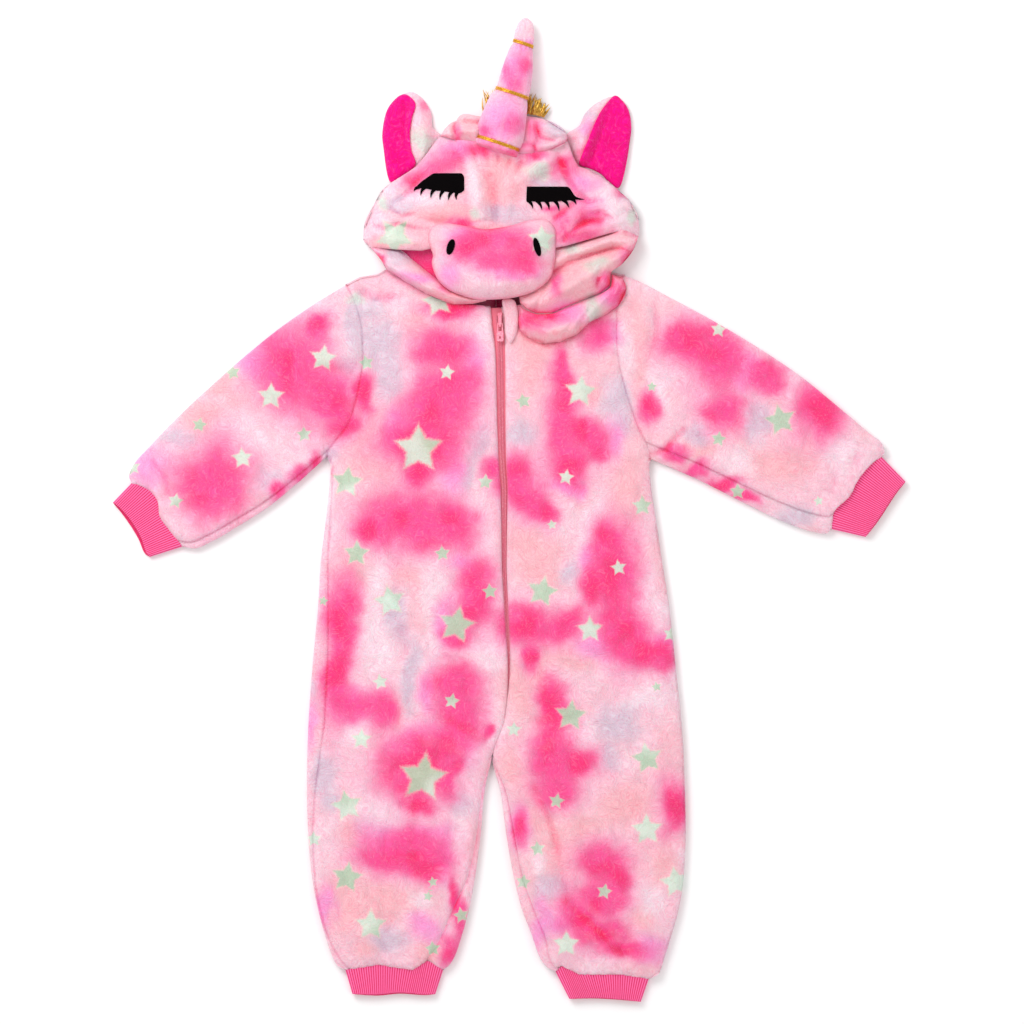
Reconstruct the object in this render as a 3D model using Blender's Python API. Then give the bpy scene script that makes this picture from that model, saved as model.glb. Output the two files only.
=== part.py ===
"""A child's unicorn onesie in plush, laid on its back on a flat surface.

Sizes are millimetres. x points to the wearer's left, y from the feet to the hood, z up, and the
surface that the garment lies on is z = 0. Right and left are the wearer's.
"""

import math
from collections import namedtuple

import bmesh
import bpy
import numpy as np
from mathutils import Matrix, Vector
from mathutils.geometry import delaunay_2d_cdt

MM = 0.001
SEAM = 0.3  # between two pieces that are sewn together

CLOTH = 4.1  # plush: backing and pile
SEWN_CLOTH = 2.9  # where a cuff's stitching squeezes it
LOFT = 12.0  # front and back lying on each other
EDGE_REACH = 26.0  # how far in from an edge the top is still rounding down
UNDER_REACH = 7.0  # the same on the underside, which is flat
BLOUSE_REACH = 14.0  # how far above a cuff's seam the cloth is back to full height

RIB_CLOTH = 2.6
CUFF_LOFT = 7.0
CUFF_REACH = 6.0
RIB_PITCH = 2.1
RIB_HEIGHT = 0.6

PLUSH = (0.93, 0.55, 0.68)
RIB_PINK = (1.0, 0.10, 0.31)
MAGENTA = (1.0, 0.0, 0.26)
GOLD = (0.75, 0.40, 0.03)
BLACK = (0.004, 0.003, 0.003)
ZIP_PINK = (0.75, 0.13, 0.22)

# Body: one row for each level from the shoulder to the ankle.
# outer: x of the armhole, then of the side. seam: how far in from the side the seam lies, on top.
# inner: x of the centre front, then of the inner leg. fold: how far in from there the front ends.
Section = namedtuple("Section", "y outer seam inner fold")
RIGHT_HALF = [
    Section(237, -171, 0, -13.5, 6.3),
    Section(213.5, -161.5, 0, -12, 6.3),
    Section(184.5, -154.5, 0, -10, 6),
    Section(159, -153.5, 0, -9, 5.7),
    Section(132, -157.5, 0, -8.5, 5.4),
    Section(93, -168, 0, -8, 5),
    Section(57, -191, 1, -7, 4.6),
    Section(46.5, -187.5, 2, -6.5, 4.4),
    Section(19.5, -189, 3.2, -5, 4.1),
    Section(-15, -193, 5.2, -5, 3.6),
    Section(-52, -197.5, 7.4, -5, 3.1),
    Section(-99, -200.5, 10.5, -3, 2.6),
    Section(-164.5, -206.5, 15.8, 0, 1.8),
    Section(-216, -210.3, 16.8, -4, 0.3),
    Section(-259, -212, 13.1, -17.5, 1.2),
    Section(-297.5, -212.3, 8.4, -25.8, 2.1),
    Section(-336.5, -211.2, 5.2, -29.3, 3.2),
    Section(-385, -207, 3.2, -35.5, 6.8),
    Section(-418.5, -200.8, 2.1, -41.8, 15.8),
    Section(-449, -192.4, 3.2, -50.2, 20.5),
    Section(-472, -184.2, 7.5, -58.6, 23.1),
    Section(-478.5, -180, 8.5, -63.5, 20),
    Section(-482.5, -172, 5, -69, 16.8),
]
LEFT_HALF = [
    Section(247, 121, 0, -13.5, 6.3),
    Section(221, 114.5, 0, -12.4, 6.3),
    Section(184.5, 113, 0, -10, 6),
    Section(159, 115, 0, -9, 5.7),
    Section(132, 121, 0, -8.5, 5.4),
    Section(93, 133.5, 0, -8, 5),
    Section(54, 148.5, 0, -7, 4.6),
    Section(46.5, 146.8, 0, -6.5, 4.4),
    Section(19.5, 149.4, 0, -5, 4.1),
    Section(-15, 154.8, 0, -5, 3.6),
    Section(-52, 160, 0, -5, 3.1),
    Section(-99, 167.4, 0, -3, 2.6),
    Section(-164.5, 174.5, 0, 0, 1.8),
    Section(-216, 180, 0, -4, 0.3),
    Section(-259, 183, 0, -17.5, 1.2),
    Section(-297.5, 184.3, 0, -8.6, 5.2),
    Section(-336.5, 185, 0, -3.4, 7.4),
    Section(-385, 182.9, 0, 5, 8.4),
    Section(-418.5, 177.8, 0, 13.4, 11.6),
    Section(-449, 169.3, 0, 24.9, 12.6),
    Section(-474, 161.3, 0, 32.3, 9.5),
    Section(-487, 156.5, 0, 40, 8),
    Section(-492, 147, 0, 48.5, 4.2),
]
CROTCH_Y = -259.0
ARMHOLE_ROWS = 5
SEAM_INSET = 2.4  # no side seam lies nearer to the edge than this
ARMPIT = {"right": (-191.0, 57.0), "left": (148.5, 54.0)}

# Shoulder and neck edges from the armhole to the centre, and ankle seams from side to inner leg.
NECK = {
    ("right", "front"): [(-171, 237), (-156.5, 244.5), (-137.5, 247.5), (-129, 253), (-114.5, 245),
                         (-83, 228.5), (-51.5, 218), (-13.5, 212.5)],
    ("right", "back"): [(-171, 237), (-156.5, 244.5), (-137.5, 247.5), (-129, 253), (-109, 259),
                        (-83, 260), (-13.5, 260)],
    ("left", "front"): [(-13.5, 212.5), (32.5, 218), (64, 228.5), (95.5, 244), (107, 249.5), (121, 247)],
    ("left", "back"): [(-13.5, 260), (53.5, 260), (85, 259), (107, 249.5), (121, 247)],
}
SHOULDER_CORNERS = {"right": 4, "left": 2}  # how many of a neck's outer points are shoulder
ANKLE_SEAM = {
    "right": [(-172, -482.5), (-151, -479), (-136.5, -476.5), (-124, -479), (-101, -482),
              (-85, -472.5), (-69, -482.5)],
    "left": [(48.5, -484), (55.5, -478.5), (74.5, -487), (116.5, -487), (147, -492)],
}

# Sleeves, from the shoulder or the armpit to the cuff.
SLEEVE_TOP = {
    "right": [(-171, 237), (-202.5, 218), (-241.5, 191), (-278.8, 160.7), (-314, 129.5), (-347, 98.7),
              (-377, 67.5), (-395, 46.5), (-399, 36), (-396.5, 29)],
    "left": [(121, 247), (137, 240.5), (160.5, 228.2), (213, 200), (257, 174), (307.5, 140),
             (347.5, 107.5), (378, 81.5), (392.5, 69), (394.5, 61.5), (391.5, 56.5)],
}
SLEEVE_UNDER = {
    "right": [(-191, 57), (-223.5, 27.5), (-255, 2), (-282, -15), (-313, -33), (-331, -40),
              (-342.5, -38)],
    "left": [(148.5, 54), (197, 33), (247, 7.8), (287.5, -11.5), (317, -22), (332, -24.5),
             (338.5, -20)],
}
WRIST_SEAM = {
    "right": [(-396.5, 29), (-383, 24.5), (-368.5, 8), (-367.5, -2.5), (-356.5, -20.5), (-342.5, -38)],
    "left": [(391.5, 56.5), (384, 51.5), (366.5, 31.5), (358, 15.5), (341, -3.5), (338.5, -20)],
}
UNDERARM_SEAM = {"right": 8.0, "left": 18.0}  # in from the sleeve's under edge

# Cuffs: the edge at the hand or foot, and how far the upper layer stops short of the lower one.
CuffEnd = namedtuple("CuffEnd", "edge short")
WRIST_END = {
    "right": CuffEnd([(-416.5, 8), (-407.5, -2.5), (-389.5, -30), (-382.5, -45.5), (-378, -49)], 3.5),
    "left": CuffEnd([(417, 30), (408.5, 19.5), (387.5, -12), (375, -28)], 1.0),
}
ANKLE_END = {
    "right": CuffEnd([(-164.5, -508.5), (-139.5, -510), (-114, -508), (-88, -509.5), (-77.5, -508.5)], 1.5),
    "left": CuffEnd([(138.5, -516.5), (116.5, -514.5), (89, -513), (63.5, -513.5)], 1.0),
}

# Creases and soft rises of the upper cloth: a line, its half width and its height.
Fold = namedtuple("Fold", "line width height")
FOLDS = [
    Fold([(-160, 232), (-143, 224), (-116, 222)], 7, -2.2),
    Fold([(-166, 222), (-140, 212), (-112, 212)], 9, 2.4),
    Fold([(-200, 60), (-216, 46), (-244, 19)], 9, 2.6),
    Fold([(-176, 96), (-196, 92), (-222, 108)], 10, 2.4),
    Fold([(-150, 160), (-168, 150), (-196, 150)], 9, -1.8),
    Fold([(-384, 47), (-372, 36), (-366, 22)], 6, 2.2),
    Fold([(-363, 4), (-345, 14), (-322, 20)], 7, 2.2),
    Fold([(138, 228), (141, 206), (139, 176)], 8, 2.6),
    Fold([(150, 60), (176, 64), (212, 50)], 10, 2.2),
    Fold([(370, 62), (364, 46)], 7, -2.2),
    Fold([(342, 42), (338, 16)], 8, -2.2),
    Fold([(330, 60), (300, 66), (268, 76)], 12, 2.0),
    Fold([(-196, 20), (-170, -10), (-150, -60)], 14, 1.8),
    Fold([(140, 40), (122, 10), (112, -40)], 13, 1.8),
    Fold([(-30, -262), (-60, -250), (-96, -236)], 11, 2.0),
    Fold([(-8, -264), (24, -250), (60, -244)], 11, 2.0),
    Fold([(-178, -452), (-160, -440), (-130, -446)], 9, 2.2),
    Fold([(54, -462), (84, -450), (120, -458)], 10, 2.2),
]

# Hood: plan outlines of its pieces.
FACE_RIGHT = [
    (-72.5, 392), (-96.5, 361.5), (-124, 343), (-131, 337.5), (-140.5, 322), (-151.5, 295.5),
    (-152, 285), (-146, 276.5), (-114.5, 274), (-84, 273), (-84, 281), (-85.5, 289.5), (-78, 300),
    (-62, 301), (-40, 297), (-23, 295), (-12.8, 296.5), (-12.8, 326), (-12.8, 369.7), (-38, 380.5),
    (-55.5, 388),
]
FACE_LEFT = [
    (-12.2, 296.5), (0, 298.2), (24, 304.7), (40, 304.7), (49.5, 294), (49.5, 275.5), (80, 284),
    (102, 290.5), (118.5, 294.5), (135.5, 288.5), (136, 292.5), (135.5, 305), (127, 324),
    (113.5, 336.5), (100, 348), (82, 358), (73, 361), (60.5, 387.2), (39, 376), (11.5, 368.5),
    (-12.4, 370),
]
FACE_RIM = [(-60, 392), (-72.5, 392), (-96.5, 361.5), (-124, 343), (-131, 337.5), (-140.5, 322),
            (-151.5, 295.5), (-152, 285), (-146, 275)]
FACE_RIM_LEFT = [(60, 390), (73, 361), (82, 358), (100, 348), (113.5, 336.5), (127, 324),
                 (135.5, 305), (136, 292.5), (134, 286)]
FACE_LOWER = [
    (-146, 276.5), (-114.5, 274), (-84, 273), (-84, 281), (-85.5, 289.5), (-78, 300), (-62, 301),
    (-40, 297), (-12.5, 296.5), (0, 298.2), (24, 304.7), (40, 304.7), (49.5, 294), (49.5, 275.5),
    (80, 284), (102, 290.5), (118.5, 294.5), (135.5, 288.5),
]
CROWN = [
    (-72.2, 393.2), (-55.5, 410), (-46.5, 415.5), (-31.5, 414), (-9.5, 417.5), (24, 414), (37, 411),
    (60.6, 395.5), (60.9, 388.2), (39.2, 376.5), (11.5, 369), (-12.4, 370.5), (-38, 381), (-55.4, 388.5),
]
MUZZLE = [
    (-83, 289.5), (-76.5, 298), (-62, 299), (-40, 295.5), (-23, 293.5), (0, 296.5), (24, 303),
    (39, 303), (47, 293.5), (47, 279), (46, 260), (41, 244), (26, 231.5), (4.5, 225), (-19, 223),
    (-38, 224), (-60, 231.5), (-72.5, 242), (-79, 258), (-78, 268), (-82, 279),
]
HEM_RIGHT = [
    (-145.6, 276.1), (-134.5, 263), (-128, 252.5), (-110, 241), (-87, 227.5), (-69.5, 220),
    (-58, 216.5), (-41, 218.5), (-32.5, 222), (-38, 223), (-61, 230), (-73.5, 241), (-87, 251.5),
    (-101, 263), (-115.5, 273.5), (-127, 274.6),
]
JAW_LEFT = [
    (49, 275), (80, 283.5), (102, 290), (118.5, 294), (136, 287.9), (131, 274.5), (118, 258),
    (107, 249), (106, 237), (95.5, 228), (77.5, 221), (59, 213.5), (44, 207.5), (30.5, 207),
    (19, 211.5), (11.5, 218), (10.5, 225), (27.5, 230.5), (42, 243), (47, 259.5),
]
COLLAR_LEFT = [
    (30.5, 206), (44, 206.5), (59, 212.5), (77.5, 220), (95.5, 227), (107, 236), (108, 248),
    (119.5, 243), (123, 232.5), (114.5, 214.5), (103, 206.5), (84, 197), (71.5, 184.5),
    (54.5, 177), (38, 175), (21, 181), (11.5, 188.5), (9.5, 200), (11.5, 214.5), (19, 210),
]
HIDDEN = [
    (-70, 387), (-94, 357), (-119, 338), (-127, 331), (-134, 319), (-144.5, 295), (-144.5, 286),
    (-138, 272), (-122, 257), (-112, 249), (-83, 232.5), (-60, 227), (-20, 227), (20, 227),
    (34, 223), (64, 233), (90, 246), (104, 255), (113, 262), (126, 276), (130, 290), (129, 303),
    (121, 320), (108, 332), (95, 343), (76, 353), (57, 381), (38, 370), (11, 363), (-12, 364),
    (-37, 375), (-55, 383),
]
HOOD_STEP = (262.2, 262.6)  # y where the hood's layers leave the neck and reach the surface
GUARD = [
    (-2, 221.5), (5, 221), (8, 208.5), (8.5, 197), (6.5, 184.5), (1.5, 175.5), (-2.2, 183),
    (-3.4, 191.5), (-3.4, 205.5), (-3.4, 216),
]
FACE_RIM_HEIGHT = 5.0
FACE_RISE = 20.0
FACE_REACH = 44.0
ROLL_FLOOR = 12.3  # what lies on the body or on the neck's hidden layers starts here

FACE_RIDGES = [
    Fold([(-41, 368), (-34.5, 331.5), (-28.5, 303)], 8, 6),
    Fold([(-19, 350), (-14.5, 321), (-12.5, 303)], 6, -3),
    Fold([(4, 345), (22, 353), (44, 365)], 9, 4.5),
    Fold([(-112, 345), (-96, 358), (-74, 368)], 11, 3.5),
    Fold([(55.5, 352), (71.5, 326)], 5, -3),
    Fold([(49.5, 303), (72.5, 318), (95.5, 326), (120, 318)], 11, 6.5),
    Fold([(56, 290), (80, 304), (108, 303)], 8, 3),
    Fold([(52, 303), (76, 309), (98, 314)], 4, -3),
    Fold([(-112, 295.5), (-84, 295.5)], 4, -2),
    Fold([(-136, 305), (-116, 284), (-90, 281)], 10, 3),
]
Knot = namedtuple("Knot", "x y width height")
HEM_LOBES = [[Knot(-136, 266, 10, 9), Knot(-112, 252, 14, 15), Knot(-80, 234, 14, 15), Knot(-45, 221, 7, 7)]]
JAW_LOBES = [
    [Knot(50, 266, 9, 9), Knot(80, 275, 9, 13), Knot(108, 283, 11, 15), Knot(126, 281, 11, 12)],
    [Knot(16, 219, 9, 8), Knot(42, 230, 16, 14), Knot(74, 249, 17, 15), Knot(102, 260, 14, 15),
     Knot(118, 268, 12, 12)],
    [Knot(60, 226, 12, 9), Knot(90, 242, 13, 11)],
]
COLLAR_LOBES = [
    [Knot(18, 196, 10, 7), Knot(40, 191, 15, 11), Knot(64, 199, 15, 12), Knot(90, 213, 13, 11),
     Knot(112, 232, 11, 9)],
]
CROWN_LOBES = [
    [Knot(-60, 399, 11, 11), Knot(-52, 394, 9, 9)],
    [Knot(-44, 408, 9, 11), Knot(-38, 392, 8, 9)],
    [Knot(26, 404, 8, 8), Knot(22, 380, 7, 8)],
    [Knot(44, 402, 11, 12), Knot(38, 384, 8, 10)],
]

MUZZLE_CENTRE = np.array([-18.0, 262.0])
MUZZLE_RIM = (23.0, 29.0)  # its lower and upper height at the outline
MUZZLE_TOP = 47.0
NOSTRILS = {"right": (-61, 275.5, 17, 7.9, 16.8), "left": (29.5, 275.5, -15, 6.8, 20)}

# Eyes: felt outline, then the root and tip of each lash.
EYES = {
    "right": {
        "outline": [(-52, 332.5), (-47.5, 335.5), (-47, 349), (-50.5, 353.5), (-77.5, 353.5),
                    (-86, 349), (-97, 339.5)],
        "lashes": [((-95.5, 338), (-100, 334.5)), ((-89, 337.5), (-92.5, 330)),
                   ((-78.5, 335.5), (-82, 327.5)), ((-69, 334.5), (-72.5, 325.5)),
                   ((-60, 333.3), (-63.5, 325)), ((-54, 332.7), (-55, 325.5))],
        "root": 2.4,
    },
    "left": {
        "outline": [(79, 326), (70.5, 329), (61, 339.5), (19, 339.5), (18, 324.5)],
        "lashes": [((20.5, 324), (25, 316)), ((29.5, 323.8), (34.5, 315)), ((38.5, 323.8), (42, 315)),
                   ((48, 324), (52.5, 314)), ((57, 324.8), (63, 317)), ((66, 325.6), (70.5, 320.5))],
        "root": 2.4,
    },
}
FELT = 1.2

EARS = {
    "right": {
        "outline": [(-124.5, 343.4), (-131.4, 381.5), (-132.5, 398.5), (-128, 420.5), (-117.5, 434),
                    (-104, 440), (-92, 434), (-82, 418.5), (-80, 403), (-73, 393.4),
                    (-96.9, 361.9)],
        "lining": [(-123.5, 348), (-129.5, 381.5), (-130.5, 398.5), (-126.5, 419.5), (-117, 432),
                   (-111, 433), (-104, 424), (-105.5, 408), (-106, 386), (-101, 366)],
        "roll": [[Knot(-103, 434, 4, 3), Knot(-95, 422, 10, 7), Knot(-92, 402, 12, 9),
                  Knot(-90, 382, 12, 9), Knot(-90, 374, 11, 8)]],
    },
    "left": {
        "outline": [(61.1, 396), (73.6, 404), (79.6, 416.5), (90.5, 427), (109.5, 435), (123, 427),
                    (128, 410), (127, 390), (121, 360.5), (114, 337), (100.4, 348.4), (82.3, 358.5),
                    (73.4, 361.4), (61.4, 388)],
        "lining": [(113, 431.5), (121.5, 425), (126, 410), (125, 390), (119, 362), (113, 342),
                   (101, 352), (86, 360.5), (88, 388), (93, 406), (102, 424)],
        "roll": [[Knot(103, 431, 4, 3), Knot(89, 414, 10, 6), Knot(79, 398, 12, 9),
                  Knot(75, 380, 10, 9), Knot(76, 370, 8, 7)]],
    },
}
EAR_PLATE = 4.5
EAR_LINING = 2.5

# Horn: one row for each station along it. shift: its centre's offset to the right of the axis.
Station = namedtuple("Station", "along shift half")
HORN = [
    Station(0, 0, 22.5), Station(3.5, 0.2, 23.5), Station(6.6, 0.2, 22.2), Station(9.7, 0.4, 24.3),
    Station(18, 0.7, 25.2), Station(32, 1.2, 23.8), Station(44, 1.6, 21.8), Station(56, 2.2, 19.4),
    Station(58.5, 3, 17.6), Station(61.3, 3.8, 16.9), Station(64.1, 4.1, 17.2),
    Station(72, 4.2, 17.1), Station(84, 4, 16.3), Station(97, 3.6, 14.4), Station(108, 3.3, 12.2),
    Station(112.2, 3.4, 10.3), Station(115, 3.4, 9.6), Station(117.8, 3, 10.2),
    Station(124, 2.6, 10.5), Station(132, 2.3, 9.2), Station(138, 2, 6.8), Station(141, 1.8, 4),
]
HORN_FOOT = (-13.5, 378.5)
HORN_TIP = (17.5, 516.5)
HORN_FOOT_HEIGHT = 28.9  # it lies on the crown
HORN_TIP_HEIGHT = 9.0
HORN_SQUASH = 0.72
HORN_TILT = math.radians(6)
HORN_SIDES = 16
BANDS = {"low": 2, "middle": 9, "high": 16}  # the horn station that each gold cord cinches

MANE_ROOTS = [(-27, 417.8), (-9.5, 420.7), (24, 417.2), (36, 414.4)]
MANE_ROWS = 2
MANE_STRANDS = 22
MANE_HEIGHT = 4.8

ZIP_TOP = 213.0
ZIP_BOTTOM = -196.0
TAPE_HALF = 13.0
TAPE_BED = 5.2
TAPE = 1.0
COIL_HALF = 2.9
SLIDER_AT = (-9.4, 201.0)
SLIDER_BED = 9.9
PULL_AXIS = (196.0, 14.0)  # y, z


# ---- curves and distances


def smooth(knots, values, at):
    """Values on a curve through the knots that doesn't overshoot between them."""
    s = np.asarray(knots, float)
    v = np.asarray(values, float).reshape(len(s), -1)
    step = np.diff(s)[:, None]
    rise = np.diff(v, axis=0) / step
    slope = np.empty_like(v)
    slope[0], slope[-1] = rise[0], rise[-1]
    before, after = rise[:-1], rise[1:]
    same = before * after > 0
    heavy, light = 2 * step[1:] + step[:-1], step[1:] + 2 * step[:-1]
    with np.errstate(divide="ignore", invalid="ignore"):
        mean = (heavy + light) / (heavy / before + light / after)
    slope[1:-1] = np.where(same, mean, 0)
    t = np.asarray(at, float)
    k = np.clip(np.searchsorted(s, t, side="right") - 1, 0, len(s) - 2)
    u = ((t - s[k]) / (s[k + 1] - s[k]))[:, None]
    h = step[k]
    out = (
        (2 * u**3 - 3 * u**2 + 1) * v[k]
        + (u**3 - 2 * u**2 + u) * h * slope[k]
        + (3 * u**2 - 2 * u**3) * v[k + 1]
        + (u**3 - u**2) * h * slope[k + 1]
    )
    return out if np.ndim(values) > 1 else out[:, 0]


def lengths(points):
    p = np.asarray(points, float)
    return np.concatenate([[0], np.cumsum(np.linalg.norm(np.diff(p, axis=0), axis=1))])


def along(points, fractions):
    """Points on a smooth curve through the given ones, at fractions of its length."""
    s = lengths(points)
    return smooth(s, points, np.asarray(fractions, float) * s[-1])


def closed_curve(points, spacing):
    """A smooth loop through the points (Catmull-Rom), with a corner kept at each of them."""
    p = np.asarray(points, float)
    out = []
    for i in range(len(p)):
        a, b, c, d = p[i - 1], p[i], p[(i + 1) % len(p)], p[(i + 2) % len(p)]
        count = max(1, int(round(np.linalg.norm(c - b) / spacing)))
        for t in np.arange(count) / count:
            out.append(
                b
                + 0.5 * t * (c - a)
                + t**2 * (a - 2.5 * b + 2 * c - 0.5 * d)
                + t**3 * (1.5 * (b - c) + 0.5 * (d - a))
            )
    return np.array(out)


def to_lines(points, lines):
    """Distance from each point to the nearest of the lines, with that line's number and place."""
    p = np.asarray(points, float).reshape(-1, 1, 2)
    a = np.concatenate([np.asarray(line, float)[:-1] for line in lines])
    b = np.concatenate([np.asarray(line, float)[1:] for line in lines])
    run = b - a
    u = np.clip(((p - a) * run).sum(2) / np.maximum((run**2).sum(1), 1e-9), 0, 1)
    gap = np.linalg.norm(p - (a + u[..., None] * run), axis=2)
    nearest = gap.argmin(1)
    rows = np.arange(len(gap))
    return gap[rows, nearest], nearest, u[rows, nearest], run


def rounded(distance, reach):
    """0 at an edge and 1 from reach inwards, round like a quarter of an ellipse."""
    return np.sqrt(1 - (1 - np.clip(np.asarray(distance) / reach, 0, 1)) ** 2)


def fold_height(points, folds):
    total = np.zeros(len(points))
    for fold in folds:
        total += fold.height * np.exp(-((to_lines(points, [fold.line])[0] / fold.width) ** 2))
    return total


def lobe_height(points, lobes):
    """The highest of the round rolls that run along the lobes' knots."""
    best = np.zeros(len(points))
    for lobe in lobes:
        knots = np.array(lobe, float)
        gap, nearest, u, _ = to_lines(points, [knots[:, :2]])
        width, height = (
            knots[nearest, k] + u * (knots[nearest + 1, k] - knots[nearest, k]) for k in (2, 3)
        )
        best = np.maximum(best, height * np.exp(-1.3 * (gap / width) ** 2))
    return best


# ---- meshes


def material(name, colour, roughness, metallic=0.0):
    made = bpy.data.materials.get(name) or bpy.data.materials.new(name)
    made.use_nodes = True
    shader = made.node_tree.nodes["Principled BSDF"]
    shader.inputs["Base Color"].default_value = (*colour, 1)
    shader.inputs["Roughness"].default_value = roughness
    shader.inputs["Metallic"].default_value = metallic
    return made


def add_object(name, points, faces, look):
    """A mesh object of one closed body, its faces turned outwards."""
    mesh = bpy.data.meshes.new(name)
    mesh.from_pydata([tuple(p) for p in np.asarray(points) * MM], [], faces)
    bm = bmesh.new()
    bm.from_mesh(mesh)
    bmesh.ops.recalc_face_normals(bm, faces=bm.faces)
    bm.to_mesh(mesh)
    bm.free()
    mesh.shade_smooth()
    mesh.set_sharp_from_angle(angle=math.radians(40))
    mesh.materials.append(look)
    made = bpy.data.objects.new(name, mesh)
    bpy.context.collection.objects.link(made)
    return made


def add_wall(name, outer, inner, look):
    """Cloth between two grids of the same size."""
    rows, columns = outer.shape[:2]
    points = np.concatenate([outer.reshape(-1, 3), inner.reshape(-1, 3)])
    under = rows * columns

    def at(i, j):
        return i * columns + j

    faces = []
    for i in range(rows - 1):
        for j in range(columns - 1):
            quad = (at(i, j), at(i, j + 1), at(i + 1, j + 1), at(i + 1, j))
            faces += [quad, tuple(under + k for k in reversed(quad))]
    edges = [(at(0, j + 1), at(0, j)) for j in range(columns - 1)]
    edges += [(at(rows - 1, j), at(rows - 1, j + 1)) for j in range(columns - 1)]
    edges += [(at(i, 0), at(i + 1, 0)) for i in range(rows - 1)]
    edges += [(at(i + 1, columns - 1), at(i, columns - 1)) for i in range(rows - 1)]
    faces += [(a, b, under + b, under + a) for a, b in edges]
    return add_object(name, points, faces, look)


def filled(outline, step=0, margins=(), marks=()):
    """Triangles over a plan outline: its points, rows of points at the margins, marks, then a grid."""
    edge = turned_left(outline)
    loop = np.vstack([edge, edge[:1]])
    run = np.roll(edge, -1, 0) - np.roll(edge, 1, 0)
    inward = np.stack([-run[:, 1], run[:, 0]], 1) / np.linalg.norm(run, axis=1)[:, None]
    parts, kept = [edge], [np.vstack([mark, mark[:1]]) for mark in marks]
    bounds = [(k, (k + 1) % len(edge)) for k in range(len(edge))]
    for margin in margins:
        row = edge + inward * margin
        clear = to_lines(row, [loop])[0] > 0.9 * margin
        if kept:
            clear &= to_lines(row, kept)[0] > 0.8 * margin
        parts.append(row[clear])
    for mark in marks:
        first = sum(map(len, parts))
        bounds += [(first + k, first + (k + 1) % len(mark)) for k in range(len(mark))]
        parts.append(np.asarray(mark, float))
    if step:
        low, high = edge.min(0), edge.max(0)
        xs = np.arange(low[0] + step / 2, high[0], step)
        ys = np.arange(low[1] + step / 2, high[1], step * 0.87)
        grid = np.array([(x + step / 2 * (k % 2), y) for k, y in enumerate(ys) for x in xs])
        clear = to_lines(grid, [loop])[0] > 0.6 * step + max(margins, default=0)
        if kept:
            clear &= to_lines(grid, kept)[0] > 0.45 * step
        parts.append(grid[clear])
    found = delaunay_2d_cdt([Vector(p) for p in np.concatenate(parts)], bounds, [], 1, 1e-4)
    plan = np.array([tuple(v) for v in found[0]])
    faces = [tuple(face) for face in found[2] if inside(plan[list(face)].mean(0), edge)]
    return compact(plan, faces)


def turned_left(outline):
    edge = np.asarray(outline, float)
    ahead = np.roll(edge, -1, 0)
    area = (edge[:, 0] * ahead[:, 1] - edge[:, 1] * ahead[:, 0]).sum()
    return edge if area > 0 else edge[::-1]


def inside(point, outline):
    a, b = np.asarray(outline, float), np.roll(outline, -1, 0)
    crossed = (a[:, 1] > point[1]) != (b[:, 1] > point[1])
    rise = np.where(b[:, 1] == a[:, 1], 1, b[:, 1] - a[:, 1])
    at = a[:, 0] + (b[:, 0] - a[:, 0]) * (point[1] - a[:, 1]) / rise
    return bool((crossed & (point[0] < at)).sum() % 2)


def compact(points, faces):
    """The faces with the points that they use, renumbered."""
    used = sorted({k for face in faces for k in face})
    place = {k: i for i, k in enumerate(used)}
    return points[used], [tuple(place[k] for k in face) for face in faces]


def rim_of(faces):
    """The edges that only one face uses, each as that face runs it."""
    runs = {(f[i], f[(i + 1) % len(f)]) for f in faces for i in range(len(f))}
    return [(a, b) for a, b in runs if (b, a) not in runs]


def add_slab(name, outline, top, bottom, look, step=9.0, margins=(2.0,), marks=(), under=(0, ())):
    """A solid over a plan outline, between two heights. Gives back the plan of its top."""
    plan, faces = filled(outline, step, margins, marks)
    low_plan, low_faces = filled(outline, *under)
    points = np.concatenate(
        [np.column_stack([plan, top(plan)]), np.column_stack([low_plan, bottom(low_plan)])]
    )
    place = {tuple(np.round(p, 4)): len(plan) + k for k, p in enumerate(low_plan)}
    solid = list(faces) + [tuple(len(plan) + k for k in reversed(face)) for face in low_faces]
    for a, b in rim_of(faces):
        solid.append((b, a, place[tuple(np.round(plan[a], 4))], place[tuple(np.round(plan[b], 4))]))
    add_object(name, points, solid, look)
    return plan, faces


def add_patch(name, panel, outline, top, thick, look):
    """A flat piece laid on a panel: the panel's own points inside the outline, moved out."""
    plan, faces = panel
    faces = [face for face in faces if inside(plan[list(face)].mean(0), outline)]
    plan, faces = compact(plan, faces)
    bed = top(plan) + 1.3 * SEAM
    points = np.concatenate([np.column_stack([plan, bed + thick]), np.column_stack([plan, bed])])
    under = len(plan)
    solid = faces + [tuple(under + k for k in reversed(face)) for face in faces]
    solid += [(b, a, under + a, under + b) for a, b in rim_of(faces)]
    return add_object(name, points, solid, look)


def add_turned(name, rings, look):
    """A closed body through rings of points, its two ends filled."""
    rings = np.asarray(rings, float)
    count, sides = rings.shape[:2]
    faces = [
        (i * sides + j, i * sides + (j + 1) % sides, (i + 1) * sides + (j + 1) % sides, (i + 1) * sides + j)
        for i in range(count - 1)
        for j in range(sides)
    ]
    faces += [tuple(range(sides))[::-1], tuple((count - 1) * sides + j for j in range(sides))]
    return add_object(name, rings.reshape(-1, 3), faces, look)


def level(height):
    return lambda plan: np.full(len(plan), float(height))


# ---- body and legs


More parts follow.
